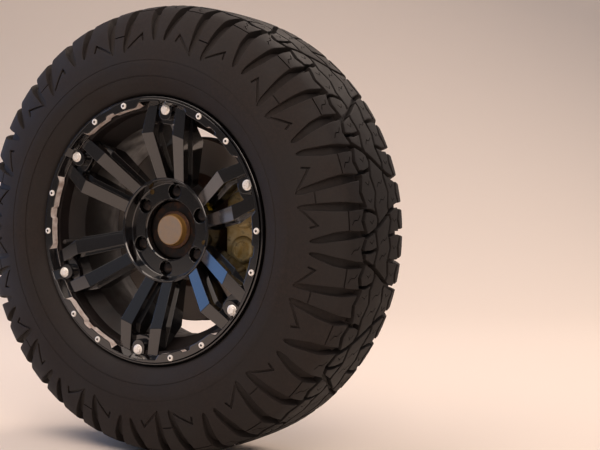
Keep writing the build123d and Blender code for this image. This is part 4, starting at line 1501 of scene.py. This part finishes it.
class WHEEL_END_OT_stage(bpy.types.Operator):
    """Set up the plain floor, the soft light and the camera"""

    bl_idname = "wheel_end.stage"
    bl_label = "Stage"

    def execute(self, context):
        settings = context.scene.wheel_end_stage
        self.make_floor(settings)
        self.make_sky(context.scene, settings)
        for name, place, power, size in LAMPS:
            colour = settings.glow if name == "sky_lamp" else settings.lamp
            self.make_lamp(name, Vector(place), power, size, colour)
        self.make_camera(context.scene, settings)
        context.scene.view_settings.view_transform = "Standard"
        return {"FINISHED"}

    def make_floor(self, settings):
        """Floor that curves up into a backdrop behind the object, square to the camera."""
        only()
        bpy.ops.mesh.primitive_plane_add(size=FLOOR_SIZE)
        floor = bpy.context.object
        floor.name = floor.data.name = "floor"
        edit(floor)
        back = FLOOR_SIZE / 2 - 1
        pick(floor, "EDGE", lambda edge: all(vertex.co.y > back for vertex in edge.verts))
        extrude_by((0, 0, BACKDROP_HEIGHT))
        pick(floor, "EDGE", lambda edge: all(vertex.co.y > back and vertex.co.z < 1 for vertex in edge.verts))
        bpy.ops.mesh.bevel(offset=BACKDROP_BEND, segments=24, affect="EDGES")
        only(floor)
        floor.location = (0, -1.0, FLOOR_HEIGHT)
        floor.rotation_euler = (0, 0, math.atan2(CAMERA_RIGHT.y, CAMERA_RIGHT.x))
        bpy.ops.object.transform_apply()
        bpy.ops.object.shade_smooth_by_angle(angle=math.radians(30))
        matt = {"Base Color": settings.floor, "Roughness": 0.9}
        floor.data.materials.append(surface(new_finish("pale_floor")[0], matt))

    def make_sky(self, scene, settings):
        """Soft light from above that fades to a dim band low down, which the paint mirrors as black."""
        world = bpy.data.worlds.new("soft_sky")
        world.use_nodes = True
        tree = world.node_tree
        tree.nodes.clear()
        height = add(tree, "SeparateXYZ", (add(tree, "TexCoord", out="Generated"),), out="Z")
        share = add(tree, "MapRange", (height, 0.02, 0.7))
        colour = add(tree, "Mix", {0: share, 6: settings.horizon, 7: settings.sky}, **COLOURS)
        add(tree, "OutputWorld", (add(tree, "Background", (colour, 1.0)),))
        scene.world = world

    def make_lamp(self, name, place, power, size, colour):
        """Large square lamp aimed at the wheel."""
        lamp = bpy.data.lights.new(name, "AREA")
        lamp.energy = power
        lamp.color = tuple(colour)[:3]
        lamp.size = size
        holder = bpy.data.objects.new(name, lamp)
        holder.location = place
        holder.rotation_euler = (-place).to_track_quat("-Z", "Y").to_euler()
        holder.visible_camera = False
        bpy.context.scene.collection.objects.link(holder)

    def make_camera(self, scene, settings):
        """Camera at the photograph's place and angle."""
        camera = bpy.data.cameras.new("camera")
        camera.lens = settings.focal_length
        camera.sensor_width = SENSOR_WIDTH
        holder = bpy.data.objects.new("camera", camera)
        axes = Matrix((CAMERA_RIGHT, CAMERA_UP, CAMERA_RIGHT.cross(CAMERA_UP))).transposed()
        holder.matrix_world = Matrix.Translation(CAMERA_PLACE) @ axes.to_4x4()
        scene.collection.objects.link(holder)
        scene.camera = holder


OPERATORS = [
    WHEEL_END_OT_tyre,
    WHEEL_END_OT_rim,
    WHEEL_END_OT_centre,
    WHEEL_END_OT_fasteners,
    WHEEL_END_OT_hub,
    WHEEL_END_OT_brake,
    WHEEL_END_OT_knuckle,
    WHEEL_END_OT_stage,
]


class WHEEL_END_PT_panel(bpy.types.Panel):
    """Lists the pieces of the wheel end and their settings"""

    bl_idname = "WHEEL_END_PT_panel"
    bl_label = "Wheel end"
    bl_space_type = "VIEW_3D"
    bl_region_type = "UI"
    bl_category = "Wheel end"

    def draw(self, context):
        for operator in OPERATORS:
            self.layout.operator(operator.bl_idname)
        for name, group in GROUPS.items():
            box = self.layout.box()
            for setting in group.__annotations__:
                box.prop(getattr(context.scene, name), setting)


def register():
    for group in GROUPS.values():
        bpy.utils.register_class(group)
    for operator in OPERATORS:
        bpy.utils.register_class(operator)
    bpy.utils.register_class(WHEEL_END_PT_panel)
    for name, group in GROUPS.items():
        setattr(bpy.types.Scene, name, PointerProperty(type=group))


def unregister():
    for name in GROUPS:
        delattr(bpy.types.Scene, name)
    bpy.utils.unregister_class(WHEEL_END_PT_panel)
    for operator in OPERATORS:
        bpy.utils.unregister_class(operator)
    for group in GROUPS.values():
        bpy.utils.unregister_class(group)


def main():
    register()
    bpy.ops.wheel_end.tyre()
    bpy.ops.wheel_end.rim()
    bpy.ops.wheel_end.centre()
    bpy.ops.wheel_end.fasteners()
    bpy.ops.wheel_end.hub()
    bpy.ops.wheel_end.brake()
    bpy.ops.wheel_end.knuckle()
    bpy.ops.wheel_end.stage()
    write_sizes()


def write_sizes():
    """Leaves object mode on with nothing selected."""
    only()


if __name__ == "__main__":
    main()
